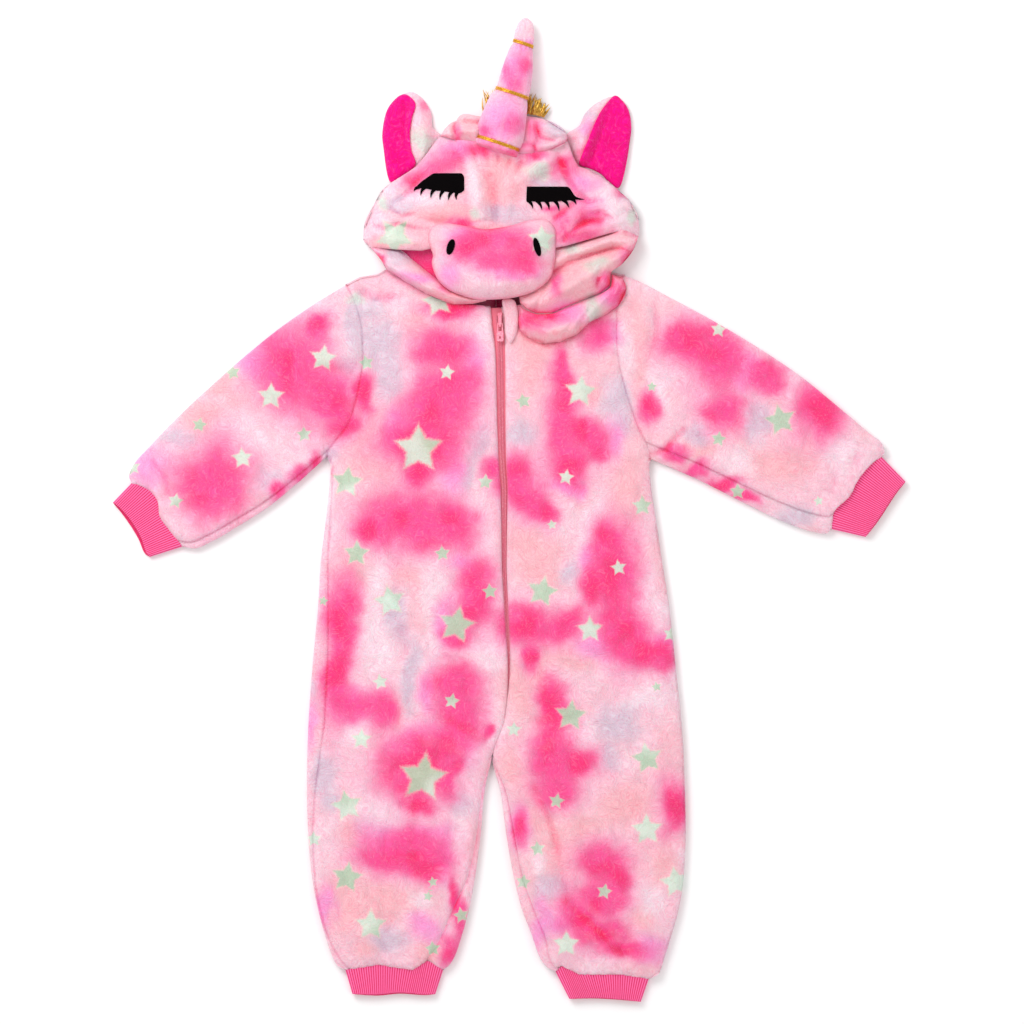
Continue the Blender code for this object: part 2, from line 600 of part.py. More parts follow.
def body_rows(side):
    """The half's levels from shoulder to ankle, each with its section's values."""
    table = RIGHT_HALF if side == "right" else LEFT_HALF
    armpit = ARMPIT[side][1]
    shares = np.array([0.1, 0.22, 0.36, 0.5, 0.64, 0.77, 0.87, 0.94, 0.98, 1])
    leg = CROTCH_Y + (table[-1].y - CROTCH_Y) * shares
    levels = np.concatenate(
        [np.linspace(table[0].y, armpit, ARMHOLE_ROWS + 1), np.linspace(25, CROTCH_Y, 8), leg]
    )
    knots = [-row.y for row in table]
    values = {
        name: smooth(knots, [getattr(row, name) for row in table], -levels)
        for name in ("outer", "seam", "inner", "fold")
    }
    inward = 1 if side == "right" else -1  # from the side to the centre
    return levels, values, inward


def armhole(side):
    """Where the body's rows end at the armhole, from the shoulder to the armpit."""
    levels, row, _ = body_rows(side)
    return leveled(side, "front", levels, row["outer"][:, None], 0)[: ARMHOLE_ROWS + 1, 0]


def side_outline(side, column, start):
    table = RIGHT_HALF if side == "right" else LEFT_HALF
    rows = [(getattr(row, column), row.y) for row in table if row.y <= start]
    return along(rows, np.linspace(0, 1, 40))


def silhouette():
    """The garment's outline as lines, and for each +1 if the cloth lies to the left of its run."""
    fine = np.linspace(0, 1, 40)
    lines, turns = [], []
    for side, sign in (("right", 1), ("left", -1)):
        shoulder = NECK[side, "front"][: SHOULDER_CORNERS[side]]
        if side == "left":
            shoulder = NECK[side, "front"][: -SHOULDER_CORNERS[side] - 1 : -1]
        lines += [
            side_outline(side, "outer", ARMPIT[side][1]),
            side_outline(side, "inner", CROTCH_Y),
            along(SLEEVE_TOP[side], fine),
            along(SLEEVE_UNDER[side], fine),
            np.array(shoulder, float),
        ]
        turns += [sign, -sign, sign, -sign, -sign]
    return lines, turns


OUTLINE, TURNS = silhouette()


def edge_of(points):
    """Distance in from the garment's outline, and the direction inwards from its nearest edge."""
    gap, nearest, _, run = to_lines(points, OUTLINE)
    sign = np.concatenate([[turn] * (len(line) - 1) for line, turn in zip(OUTLINE, TURNS, strict=True)])
    run = run[nearest] * sign[nearest][:, None]
    inward = np.stack([-run[:, 1], run[:, 0]], 1) / np.linalg.norm(run, axis=1)[:, None]
    return gap, inward


def tube_wall(name, plan, layer, on_edge, to_seam, look, seams=()):
    """Cloth of a flattened tube. layer is 1 where it lies on top and -1 underneath.

    seams holds the grid's slices that end at a seam, each with that seam's line.
    """
    shape = plan.shape[:2]
    flat = plan.reshape(-1, 2)
    gap, inward = edge_of(flat)
    gap = np.where(on_edge.ravel(), 0, gap)
    layer, to_seam = layer.ravel(), to_seam.ravel()
    upper = layer > 0
    reach = np.where(upper, EDGE_REACH, UNDER_REACH)
    full = rounded(gap, reach)
    blouse = rounded(to_seam, BLOUSE_REACH)
    cloth = SEWN_CLOTH + (CLOTH - SEWN_CLOTH) * blouse
    half = LOFT / 2
    at_cuff = (CUFF_LOFT + 0.4 - half) / half
    rise = np.where(upper, at_cuff + (1 - at_cuff) * blouse, 1)
    height = half + layer * (SEAM / 2 + (half - SEAM / 2) * full * rise)
    height += np.where(upper, fold_height(flat, FOLDS) * full * blouse, 0)
    shift = (inward * (cloth * np.clip(1 - gap / reach, 0, 1))[:, None]).reshape(*shape, 2)
    for place, line in seams:
        _, nearest, _, run = to_lines(plan[place], [line])
        ahead = run[nearest] / np.linalg.norm(run[nearest], axis=1)[:, None]
        shift[place] = ahead * (shift[place] * ahead).sum(-1)[:, None]
    outer = np.dstack([plan, height.reshape(shape)])
    inner = np.dstack([plan + shift, (height - layer * cloth * full).reshape(shape)])
    return add_wall(name, outer, inner, look)


def leveled(side, part, levels, xs, gap=SEAM / 2):
    """Plan points of a body panel: level rows, bent to the neck's edge above and the ankle's below."""
    neck, ankle = np.array(NECK[side, part], float), np.array(ANKLE_SEAM[side], float)
    above = np.clip((levels - levels[0] + 70) / 70, 0, 1)[:, None]
    below = np.clip((levels[-1] + 40 - levels) / 40, 0, 1)[:, None]
    ys = levels[:, None] + above * (np.interp(xs, neck[:, 0], neck[:, 1]) - levels[0])
    ys += below * (np.interp(xs, ankle[:, 0], ankle[:, 1]) - levels[-1])
    ys[0] -= gap
    ys[-1] += gap
    return np.stack([xs, ys], 2)


def front_panel(side, look):
    levels, row, inward = body_rows(side)
    below = levels <= ARMPIT[side][1]
    wrapped = side == "right"
    inset = np.maximum(row["seam"], SEAM_INSET)
    start = np.where(below, (inset + slanted_gap(levels, row["outer"] + inset)) * wrapped, 0)
    start += np.where(below, 0, SEAM / 2)
    finish = row["fold"] + slanted_gap(levels, row["inner"] - inward * row["fold"])
    width = (row["inner"] - row["outer"]) * inward - start - finish
    share = np.array([0, 0.02, 0.08, 0.18, 0.32, 0.5, 0.68, 0.82, 0.92, 0.98, 1])
    xs = (row["outer"] + inward * start)[:, None] + inward * width[:, None] * share
    plan = leveled(side, "front", levels, xs)
    on_edge = np.zeros(xs.shape, bool)
    on_edge[:, 0] = below & (not wrapped)
    on_edge[0] |= shoulder_part(side, xs[0])
    hole = [(np.s_[:ARMHOLE_ROWS, 0], armhole(side))]
    tube_wall(f"front_{side}", plan, np.ones(xs.shape), on_edge, seam_distance(levels, xs), look, hole)
    return plan[-1]


def slanted_gap(levels, xs):
    """The gap along x that leaves SEAM between two pieces whose edges run along the xs."""
    return SEAM * np.sqrt(1 + np.gradient(xs, levels) ** 2)


def shoulder_part(side, xs):
    corner = NECK[side, "front"][SHOULDER_CORNERS[side] - 1 if side == "right" else -SHOULDER_CORNERS[side]]
    return xs <= corner[0] if side == "right" else xs >= corner[0]


def seam_distance(levels, xs):
    return np.repeat((levels - levels[-1])[:, None], xs.shape[1], 1)


def back_panel(side, look):
    levels, row, inward = body_rows(side)
    torso, above = levels > CROTCH_Y, levels > ARMPIT[side][1]
    wrapped = side == "right"
    middle = np.interp(levels, [CROTCH_Y, levels[0]], [row["inner"][~torso][0], -13.5])
    inner = np.where(torso, middle, row["inner"]) - inward * SEAM / 2
    width = (inner - row["outer"]) * inward
    fold = np.maximum(row["fold"], 1.2)
    seam = np.maximum(row["seam"], SEAM_INSET) - SEAM / 2
    flat = np.array([0, 0.8, 1.6, 2.4])  # columns that lie side by side where nothing wraps
    near = np.where(torso[:, None], flat, fold[:, None] * np.array([1, 0.55, 0.2, 0]))
    far = np.where(above[:, None], flat[::-1] + SEAM / 2, seam[:, None] * np.array([0, 0.2, 0.55, 1]))
    if not wrapped:
        far = np.where(above, SEAM / 2, 0)[:, None]
    across = np.column_stack([
        np.full(len(levels), 4.7), np.full(len(levels), UNDER_REACH + 1.0),
        width / 2, width - UNDER_REACH - 1, width - 4.7,
    ])
    distance = np.column_stack([near, across, width[:, None] - far])
    xs = inner[:, None] - inward * distance
    layer = -np.ones(xs.shape)
    on_edge = np.zeros(xs.shape, bool)
    layer[~torso, :3] = 1
    on_edge[~torso, 3] = True
    if wrapped:
        layer[~above, -3:] = 1
        on_edge[~above, -4] = True
    else:
        on_edge[~above, -1] = True
    on_edge[0] |= shoulder_part(side, xs[0])
    plan = leveled(side, "back", levels, xs)
    hole = [(np.s_[:ARMHOLE_ROWS, -1], armhole(side))]
    tube_wall(f"back_{side}", plan, layer, on_edge, seam_distance(levels, xs), look, hole)
    return plan[-1]


def ankle_lines(side, front, back):
    """The leg's upper and lower edge at the ankle, from the side to the inner leg."""
    inner_strip = back[:4]
    if side == "right":
        upper = np.concatenate([back[-4:], front, inner_strip])
        return upper, back[3:-3][::-1]
    upper = np.concatenate([front, inner_strip])
    return upper, back[3:][::-1]


# ---- sleeves and cuffs


def at_share(line, shares):
    """Points at shares of a line's length, on its straight runs."""
    s = lengths(line)
    line = np.asarray(line, float)
    return np.column_stack([np.interp(np.asarray(shares) * s[-1], s, line[:, k]) for k in (0, 1)])


def patch(first, second, start, end, s, c):
    """Plan points between four curves (Coons): c runs from first to second, s from start to end."""
    a, b = along(first, s), along(second, s)
    rows = []
    for k, share in enumerate(s):
        across = c[k][:, None]
        corner = (1 - share) * ((1 - across) * start[0] + across * start[-1])
        corner = corner + share * ((1 - across) * end[0] + across * end[-1])
        ends = (1 - share) * at_share(start, c[k]) + share * at_share(end, c[k])
        rows.append((1 - across) * a[k] + across * b[k] + ends - corner)
    return np.array(rows)


def sleeve(side, look):
    length = lengths(SLEEVE_TOP[side])[-1]
    s = np.array([0, 0.06, 0.15, 0.26, 0.38, 0.5, 0.62, 0.73, 0.83, 0.91, 0.96, 1])
    s = SEAM / 2 / length + (1 - SEAM / length) * s
    body = armhole(side)
    wrist = along(WRIST_SEAM[side], np.linspace(0, 1, 30))
    first = np.array([body[0], *SLEEVE_TOP[side][1:]], float)
    second = np.array([body[-1], *SLEEVE_UNDER[side][1:]], float)
    width = np.linalg.norm(along(second, s) - along(first, s), axis=1)
    seam = UNDERARM_SEAM[side] / width
    joined = lengths(body)[1:-1] / lengths(body)[-1]  # where the body's rows meet the sleeve
    upper = [width * 0, 2.4 / width, 9 / width, 18 / width]
    upper += [np.full(len(s), k) for k in joined] + [1 - seam - SEAM / 2 / width]
    under = [2.5 / width, 8 / width] + [np.full(len(s), k) for k in joined] + [1 - 8 / width, 1 - 2.5 / width]
    strip = [width / width, 1 - 0.12 * seam, 1 - 0.5 * seam, 1 - seam + SEAM / 2 / width]
    c = np.column_stack(upper[::-1] + under + strip)
    layer = np.concatenate([np.ones(len(upper)), -np.ones(len(under)), np.ones(len(strip))])
    on_edge = np.zeros(c.shape, bool)
    on_edge[:, [len(upper) - 1, len(upper) + len(under)]] = True
    plan = patch(first, second, body, wrist, s, c)
    to_seam = np.repeat(((1 - s) * length * 0.8)[:, None], c.shape[1], 1)
    ends = [(0, body), (-1, wrist)]
    tube_wall(f"sleeve_{side}", plan, np.broadcast_to(layer, c.shape), on_edge, to_seam, look, ends)
    last = plan[-1]
    fold = len(upper) + len(under)
    top_line = np.concatenate([last[: len(upper)][::-1], last[fold:][::-1]])
    return top_line, last[len(upper) - 1 : fold + 1]


def cuff(name, upper, lower, end, look):
    """A ribbed tube: its upper ribs are raised in the outer points over a plain inside."""
    width = lengths(upper)[-1]
    ribs = round(width / RIB_PITCH)
    under = (lengths(lower) / lengths(lower)[-1])[:0:-1]
    over = np.concatenate([[0], np.arange(1, 2 * ribs) / 2 / ribs])
    plain = (lengths(upper) / width)[:-1]
    loops = []
    for shares, lift in ((over, RIB_HEIGHT), (plain, None)):
        share = np.concatenate([shares, under])
        layer = np.concatenate([np.ones(len(shares)), -np.ones(len(under))])
        seam = np.concatenate([at_share(upper, shares), at_share(lower, under)])
        finish = along(end.edge, share)
        run = finish - seam
        depth = np.linalg.norm(run, axis=1)[:, None]
        stop = depth - end.short * (layer > 0)[:, None] * np.sin(math.pi * share)[:, None] ** 0.5
        gap = np.minimum(share, 1 - share) * width
        full = rounded(gap, CUFF_REACH)
        half = CUFF_LOFT / 2
        height = half + layer * half * full
        toward = (seam[len(shares)] - seam[0]) / width * np.where(share < 0.5, 1, -1)[:, None]
        if lift:
            height = height + lift * full * (layer > 0) * (np.arange(len(share)) % 2)
            aside = 0
        else:
            height = height - layer * RIB_CLOTH * full
            aside = toward * RIB_CLOTH * np.clip(1 - gap / CUFF_REACH, 0, 1)[:, None]
        recess = 0 if lift else 1.6
        rows = [seam + run / depth * reach + aside for reach in (SEAM + recess, stop - recess / 2)]
        loops.append((share + (layer < 0) * 2 * (1 - share), [np.column_stack([r, height]) for r in rows]))
    return add_object(name, *stitched(loops), look)


def stitched(loops):
    """A tube's points and faces from an outer and an inner loop, each with two rows of points."""
    points, faces, first = [], [], []
    for turn, (at, rows) in enumerate(loops):
        count = len(at)
        start = sum(map(len, points))
        first.append((start, start + count))
        points += rows
        for k in range(count):
            n = (k + 1) % count
            quad = (start + k, start + n, start + count + n, start + count + k)
            faces.append(quad if turn == 0 else quad[::-1])
    (outer, _), (inner, _) = loops
    for row in (0, 1):
        i = j = 0
        while i < len(outer) or j < len(inner):
            a, b = first[0][row] + i % len(outer), first[1][row] + j % len(inner)
            next_outer = outer[i + 1] if i + 1 < len(outer) else 2
            next_inner = inner[j + 1] if j + 1 < len(inner) else 2
            if j >= len(inner) or (i < len(outer) and next_outer <= next_inner):
                faces.append((a, first[0][row] + (i + 1) % len(outer), b))
                i += 1
            else:
                faces.append((a, first[1][row] + (j + 1) % len(inner), b))
                j += 1
    return np.concatenate(points), faces


# ---- hood


def face_base(plan, inset=0.0):
    rim = np.maximum(to_lines(plan, [FACE_RIM, FACE_RIM_LEFT])[0] - inset, 0)
    lower = to_lines(plan, [FACE_LOWER])[0]
    rise = rounded(rim, FACE_REACH)
    return FACE_RIM_HEIGHT + FACE_RISE * rise - 2 * (1 - rounded(lower, 8)), rise


def face_top(plan):
    height, rise = face_base(plan)
    return height + fold_height(plan, FACE_RIDGES) * rise


def hidden_top(plan):
    """Under the face it follows the cloth, and elsewhere it is level with the body."""
    height, rise = face_base(plan, CLOTH)
    valleys = [Fold(f.line, f.width * 2.2, f.height) for f in FACE_RIDGES if f.height < 0]
    under_face = height + fold_height(plan, valleys) * rise - CLOTH - 1.6
    gap = to_lines(plan, [FACE_LOWER])[0]
    in_face = np.array([inside(p, FACE_RIGHT) or inside(p, FACE_LEFT) for p in plan])
    share = np.clip((gap - 11) / 10, 0, 1) * in_face
    flat = ROLL_FLOOR - SEAM
    return np.minimum(flat + share * np.maximum(under_face - flat, 0), np.maximum(under_face, 2))


def rolls(lobes, base, edge):
    """Heights of rolls that rise from a base, round at the outline."""
    loop = [np.vstack([edge, edge[:1]])]

    def top(plan):
        rim = rounded(to_lines(plan, loop)[0], 6)
        return base + 2 + 3 * rim + lobe_height(plan, lobes) * (0.45 + 0.55 * rim)

    return top


def hood(look, felt):
    for side, outline in (("right", FACE_RIGHT), ("left", FACE_LEFT)):
        marks = [eye_outline(side)]
        panel = add_slab(
            f"hood_{side}", divided(outline), face_top, lambda p: face_top(p) - CLOTH, look,
            9, (2.5,), marks, (13, (4,)),
        )
        add_patch(f"eye_{side}", panel, marks[0], face_top, FELT, felt)
    edge, step = stepped(divided(HIDDEN, 12))
    add_slab("hood_hidden_layers", edge, hidden_top, hidden_bottom, look, 14, under=(0, (), [step]))
    for name, outline, lobes in (
        ("hood_hem_right", HEM_RIGHT, HEM_LOBES),
        ("hood_jaw_left", JAW_LEFT, JAW_LOBES),
        ("hood_collar_left", COLLAR_LEFT, COLLAR_LOBES),
    ):
        edge = divided(outline)
        add_slab(name, edge, rolls(lobes, ROLL_FLOOR, edge), level(ROLL_FLOOR), look, 7, (1.5, 4.5))
    edge = divided(CROWN)
    add_slab("hood_crown", edge, rolls(CROWN_LOBES, 2.0, edge), level(0), look, 7, (1.5, 4.5))


def divided(outline, spacing=8.0):
    """The outline with its long straight runs divided."""
    p = np.asarray(outline, float)
    out = []
    for a, b in zip(p, np.roll(p, -1, 0), strict=True):
        count = max(1, round(np.linalg.norm(b - a) / spacing))
        out += [a + (b - a) * k / count for k in range(count)]
    return np.array(out)


def stepped(outline):
    """The outline with points where it crosses the hood's step, and the step's own outline."""
    out, step = [], []
    for a, b in zip(outline, np.roll(outline, -1, 0), strict=True):
        out.append(a)
        crossed = [a + (b - a) * (y - a[1]) / (b[1] - a[1]) for y in HOOD_STEP if (a[1] - y) * (b[1] - y) < 0]
        crossed.sort(key=lambda point: abs(point[1] - a[1]))
        out += crossed
        step += crossed
    return np.array(out), np.array(step)


def hidden_bottom(plan):
    """On the surface above the neck, and over the back panels inside the neck's opening."""
    return np.where(plan[:, 1] > sum(HOOD_STEP) / 2, 0, LOFT / 2 + 0.2)


def join(keep, other):
    """Adds the other object's body to the first with a Boolean, and removes it."""
    union = keep.modifiers.new("join", "BOOLEAN")
    union.operation = "UNION"
    union.object = other
    bpy.context.view_layer.update()
    evaluated = keep.evaluated_get(bpy.context.evaluated_depsgraph_get())
    mesh = bpy.data.meshes.new_from_object(evaluated)
    keep.modifiers.clear()
    keep.data = mesh
    bpy.data.objects.remove(other)


# ---- muzzle, eyes, ears


def muzzle_bulge(plan):
    """0 on the muzzle's outline and 1 at its centre, rounding over steeply at the edge."""
    edge = closed_curve(MUZZLE, 6) - MUZZLE_CENTRE
    angle = np.arctan2(edge[:, 1], edge[:, 0])
    order = np.argsort(angle)
    offset = plan - MUZZLE_CENTRE
    radius = np.interp(
        np.arctan2(offset[:, 1], offset[:, 0]), angle[order], np.linalg.norm(edge, axis=1)[order],
        period=2 * math.pi,
    )
    share = np.clip(np.linalg.norm(offset, axis=1) / radius, 0, 1)
    return np.sqrt(1 - share**2.8)


def muzzle_top(plan):
    return MUZZLE_RIM[1] + (MUZZLE_TOP - MUZZLE_RIM[1]) * muzzle_bulge(plan)


def muzzle_bottom(plan):
    return np.maximum(MUZZLE_RIM[0] - 22 * muzzle_bulge(plan), ROLL_FLOOR)


def muzzle(look, felt):
    marks = [nostril_outline(side) for side in NOSTRILS]
    edge = closed_curve(MUZZLE, 9)
    panel = add_slab("muzzle", edge, muzzle_top, muzzle_bottom, look, 12, (1.5, 5, 11), marks, (0, (3,)))
    for side, mark in zip(NOSTRILS, marks, strict=True):
        add_patch(f"nostril_{side}", panel, mark, muzzle_top, FELT, felt)


def nostril_outline(side):
    x, y, lean, wide, tall = NOSTRILS[side]
    turn = math.radians(-lean)
    angle = np.arange(12) / 12 * 2 * math.pi
    across, up = wide / 2 * np.cos(angle), tall / 2 * np.sin(angle)
    return np.column_stack([
        x + across * math.cos(turn) - up * math.sin(turn),
        y + across * math.sin(turn) + up * math.cos(turn),
    ])


def eye_outline(side):
    """The felt's outline, with each lash as a tapering tooth on its lower edge."""
    data = EYES[side]
    edge = [np.array(p, float) for p in data["outline"]]
    aside = np.array([data["root"] / 2, 0])
    for root, tip in data["lashes"]:
        middle = (np.array(root) + np.array(tip)) / 2
        edge += [np.array(root) - aside, middle - aside * 0.6, np.array(tip, float),
                 middle + aside * 0.6, np.array(root) + aside]
    return np.array(edge)


def ear(side, plush, lining_look):
    data = EARS[side]
    loop = divided(data["outline"], 8)
    lines = [np.vstack([loop, loop[:1]])]
    lining = divided(data["lining"], 12)

    def plate(plan):
        rim = rounded(to_lines(plan, lines)[0], 6)
        return 2 + (EAR_PLATE - 2) * rim + lobe_height(plan, data["roll"]) * (0.4 + 0.6 * rim)

    panel = add_slab(f"ear_{side}", loop, plate, level(0), plush, 7, (1.5, 4.5), [lining])
    add_patch(f"ear_lining_{side}", panel, lining, plate, EAR_LINING, lining_look)


# ---- horn, cords and mane


def horn_ring(station, extra=0.0, slide=0.0):
    """Points round the horn at a station, moved out by extra and along it by slide."""
    foot, tip = np.array(HORN_FOOT), np.array(HORN_TIP)
    length = np.linalg.norm(tip - foot)
    ahead = (tip - foot) / length
    right = np.array([ahead[1], -ahead[0]])
    angles = np.arange(HORN_SIDES) / HORN_SIDES * 2 * math.pi
    across = (station.half + extra) * np.cos(angles)
    up = (station.half * HORN_SQUASH + extra) * np.sin(angles)
    along_axis = station.along + slide - across * math.tan(HORN_TILT)
    plan = foot + along_axis[:, None] * ahead + (station.shift + across)[:, None] * right
    axis = HORN_FOOT_HEIGHT + (HORN_TIP_HEIGHT - HORN_FOOT_HEIGHT) * station.along / length
    return np.column_stack([plan, axis + up])


def horn(plush, gold):
    add_turned("horn", [horn_ring(station) for station in HORN], plush)
    profile = [(-1.9, 0.3), (-1.2, 1.5), (0, 0.8), (1.2, 1.5), (1.9, 0.3)]
    for name, index in BANDS.items():
        station, before, after = HORN[index], HORN[index - 1], HORN[index + 1]
        loops = []
        for slide, extra in profile:
            other = before if slide < 0 else after
            share = abs(slide) / abs(other.along - station.along)
            half = station.half + (other.half - station.half) * share
            shift = station.shift + (other.shift - station.shift) * share
            loops.append(horn_ring(Station(station.along, shift, half), 0.3 + extra, slide))
        inner = horn_ring(station, 0.3)
        grid = np.array([*loops, inner])
        rings, sides = grid.shape[:2]
        faces = [
            (i * sides + j, i * sides + (j + 1) % sides,
             (i + 1) % rings * sides + (j + 1) % sides, (i + 1) % rings * sides + j)
            for i in range(rings)
            for j in range(sides)
        ]
        add_object(f"horn_cord_{name}", grid.reshape(-1, 3), faces, gold)


def mane(look):
    """Strands that grow from the far side of a strip behind the horn, all in one body."""
    count = MANE_STRANDS
    roots = along(MANE_ROOTS, np.linspace(0, 1, count + 1))
    height = np.linspace(1, 1 + MANE_HEIGHT, MANE_ROWS + 1)
    front = roots + np.array([0, -2.4])
    points = [(x, y, z) for z in height for x, y in roots] + [
        (x, y, z) for z in (height[0], height[-1]) for x, y in front
    ]
    wide = count + 1
    base = wide * (MANE_ROWS + 1)
    far = MANE_ROWS * wide
    faces = [(0, *range(wide, far + 1, wide), base + wide, base)]
    faces += [(count, *range(wide + count, far + wide, wide), base + wide + count, base + count)[::-1]]
    for k in range(count):
        faces.append((k + 1, k, base + k, base + k + 1))
        faces.append((far + k, far + k + 1, base + wide + k + 1, base + wide + k))
        faces.append((base + k, base + wide + k, base + wide + k + 1, base + k + 1))
    for row in range(MANE_ROWS):
        for k in range(count):
            quad = [row * wide + k, row * wide + k + 1, (row + 1) * wide + k + 1, (row + 1) * wide + k]
            add_strand(points, faces, quad, k / (count - 1), row)
    return add_object("mane_tuft", points, faces, look)


def add_strand(points, faces, quad, share, row):
    """One tapered strand on the face quad, leaning outwards at the strip's ends."""
    corners = np.array([points[k] for k in quad])
    middle = corners.mean(0)
    fan = (share - 0.5) * 2
    wobble = math.sin(share * 71 + row * 2.3)
    length = 26 - 11 * abs(fan) ** 3 + 4 * wobble
    lean = math.radians(38 * fan + wobble)
    heading = np.array([math.sin(lean), math.cos(lean), 0.03 * row])
    first = len(points)
    for part, size in ((0.6, 0.8), (1.0, 0.12)):
        centre = middle + heading * length * part
        points.extend(tuple(p) for p in centre + (corners - middle) * size)
    for k in range(4):
        n = (k + 1) % 4
        faces.append((quad[k], quad[n], first + n, first + k))
        faces.append((first + k, first + n, first + 4 + n, first + 4 + k))
    faces.append(tuple(first + 4 + k for k in range(4)))


# ---- zip


def zip_strip(look):
    """The tape under both fronts with the coil's chain raised along its middle."""
    levels = np.linspace(ZIP_TOP, ZIP_BOTTOM, 14)
    centre = smooth([-row.y for row in LEFT_HALF], [row.inner for row in LEFT_HALF], -levels)
    gap = smooth([-row.y for row in LEFT_HALF], [row.fold for row in LEFT_HALF], -levels)
    bare = np.clip((gap - COIL_HALF - 0.4) / 0.6, 0, 1)
    top = TAPE_BED + TAPE
    chain = top + 1.1 + 2.2 * bare
    rings = []
    for x, y, high in zip(centre, levels, chain, strict=True):
        across = [-TAPE_HALF, -COIL_HALF, -COIL_HALF, COIL_HALF, COIL_HALF, TAPE_HALF, TAPE_HALF, -TAPE_HALF]
        heights = [top, top, high, high, top, top, TAPE_BED, TAPE_BED]
        rings.append([(x + a, y, h) for a, h in zip(across, heights, strict=True)])
    return add_turned("zip_chain", rings, look)


def add_box(name, centre, size, look):
    x, y, z = (c - s / 2 for c, s in zip(centre, size, strict=True))
    wide, long, high = size
    rings = [[(x, y, h), (x + wide, y, h), (x + wide, y + long, h), (x, y + long, h)] for h in (z, z + high)]
    return add_turned(name, rings, look)


def slider(look):
    """The plate over the coil and the bail that the pull tab swings on."""
    x, y = SLIDER_AT
    outline = [(-1.9, -6.5), (1.9, -6.5), (2.1, -1), (2.5, 5), (2.0, 6.8), (-2.0, 6.8), (-2.5, 5), (-2.1, -1)]
    plate = add_turned(
        "slider",
        [[(x + a * f, y + b * f, z) for a, b in outline]
         for z, f in ((SLIDER_BED, 1), (SLIDER_BED + 1.6, 1), (SLIDER_BED + 2.2, 0.85))],
        look,
    )
    axis_y, axis_z = PULL_AXIS
    bridge = axis_z + 0.75 + 0.35
    for k, (centre, size) in enumerate((
        ((x, axis_y - 2.6, (SLIDER_BED + bridge) / 2 + 0.9), (1.8, 1.2, bridge - SLIDER_BED)),
        ((x, axis_y + 8.6, (SLIDER_BED + bridge) / 2 + 0.9), (1.8, 1.4, bridge - SLIDER_BED)),
        ((x, axis_y + 3.05, bridge + 0.6), (1.8, 12.5, 1.2)),
    )):
        join(plate, add_box(f"bail_{k}", centre, size, look))
    return plate


def pull_tab(look):
    """Lies towards the feet. Its cross bar, on the hinge's axis, runs under the bail."""
    x = SLIDER_AT[0]
    axis_y, axis_z = PULL_AXIS
    half = 0.75
    outer = [(-2.7, 0.75), (2.7, 0.75), (3.0, -7), (3.6, -10), (3.6, -17.2), (2.6, -18.5), (-2.6, -18.5),
             (-3.6, -17.2), (-3.6, -10), (-3.0, -7)]
    tab = add_turned(
        "pull_tab", [[(x + a, axis_y + b, axis_z + h) for a, b in outer] for h in (-half, half)], look
    )
    for name, centre, size in (
        ("bail_hole", (x, axis_y - 4.25, axis_z), (3.4, 7.0, 4)),
        ("tip_hole", (x, axis_y - 14.4, axis_z), (1.8, 2.6, 4)),
    ):
        cutter = add_box(name, centre, size, look)
        cut = tab.modifiers.new(name, "BOOLEAN")
        cut.operation = "DIFFERENCE"
        cut.object = cutter
        cutter.hide_render = True
        cutter.display_type = "WIRE"
    hinge = Vector((x, axis_y, axis_z)) * MM
    tab.data.transform(Matrix.Translation(-hinge))
    tab.location = hinge
    return tab


def guard_flap(look):
    edge = closed_curve(GUARD, 6)
    lines = [np.vstack([edge, edge[:1]])]

    def top(plan):
        return ROLL_FLOOR + 2 + 3.5 * rounded(to_lines(plan, lines)[0], 5)

    return add_slab("zip_guard", edge, top, level(ROLL_FLOOR), look, 5, (2.0,))


def main():
    for old in list(bpy.data.objects):
        bpy.data.objects.remove(old)
    plush = material("plush", PLUSH, 0.9)
    ribs = material("ribs", RIB_PINK, 0.85)
    magenta = material("magenta plush", MAGENTA, 0.9)
    black = material("black felt", BLACK, 0.8)
    gold = material("gold", GOLD, 0.35, 0.6)
    zip_pink = material("zip", ZIP_PINK, 0.5)
    for side in ("right", "left"):
        ankle = ankle_lines(side, front_panel(side, plush), back_panel(side, plush))
        cuff(f"ankle_cuff_{side}", *ankle, ANKLE_END[side], ribs)
        cuff(f"wrist_cuff_{side}", *sleeve(side, plush), WRIST_END[side], ribs)
        ear(side, plush, magenta)
    hood(plush, black)
    muzzle(plush, black)
    horn(plush, gold)
    mane(gold)
    zip_strip(zip_pink)
    slider(zip_pink)
    pull_tab(zip_pink)
    guard_flap(plush)


main()
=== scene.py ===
# A child's plush unicorn onesie laid on its back: the looks of every piece.
# Lengths are millimetres until a mesh is made. x is the wearer's left, y runs to the hood, z is up.
import math

import bmesh
import bpy
import numpy as np
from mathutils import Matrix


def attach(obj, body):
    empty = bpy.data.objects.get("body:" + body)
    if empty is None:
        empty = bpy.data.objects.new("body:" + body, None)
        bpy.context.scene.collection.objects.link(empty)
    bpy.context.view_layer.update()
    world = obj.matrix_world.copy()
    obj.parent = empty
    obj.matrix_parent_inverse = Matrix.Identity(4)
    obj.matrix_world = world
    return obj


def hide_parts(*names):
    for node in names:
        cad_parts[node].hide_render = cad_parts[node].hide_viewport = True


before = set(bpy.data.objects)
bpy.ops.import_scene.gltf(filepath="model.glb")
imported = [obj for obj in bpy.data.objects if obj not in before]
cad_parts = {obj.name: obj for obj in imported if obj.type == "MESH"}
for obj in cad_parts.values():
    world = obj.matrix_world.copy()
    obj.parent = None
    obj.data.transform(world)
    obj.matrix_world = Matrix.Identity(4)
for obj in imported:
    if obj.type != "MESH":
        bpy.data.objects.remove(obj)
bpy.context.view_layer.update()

print("frame loaded:", len(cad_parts), "nodes")

mm = 0.001
fullTurn = 2 * math.pi

# Curves, distances and noise.


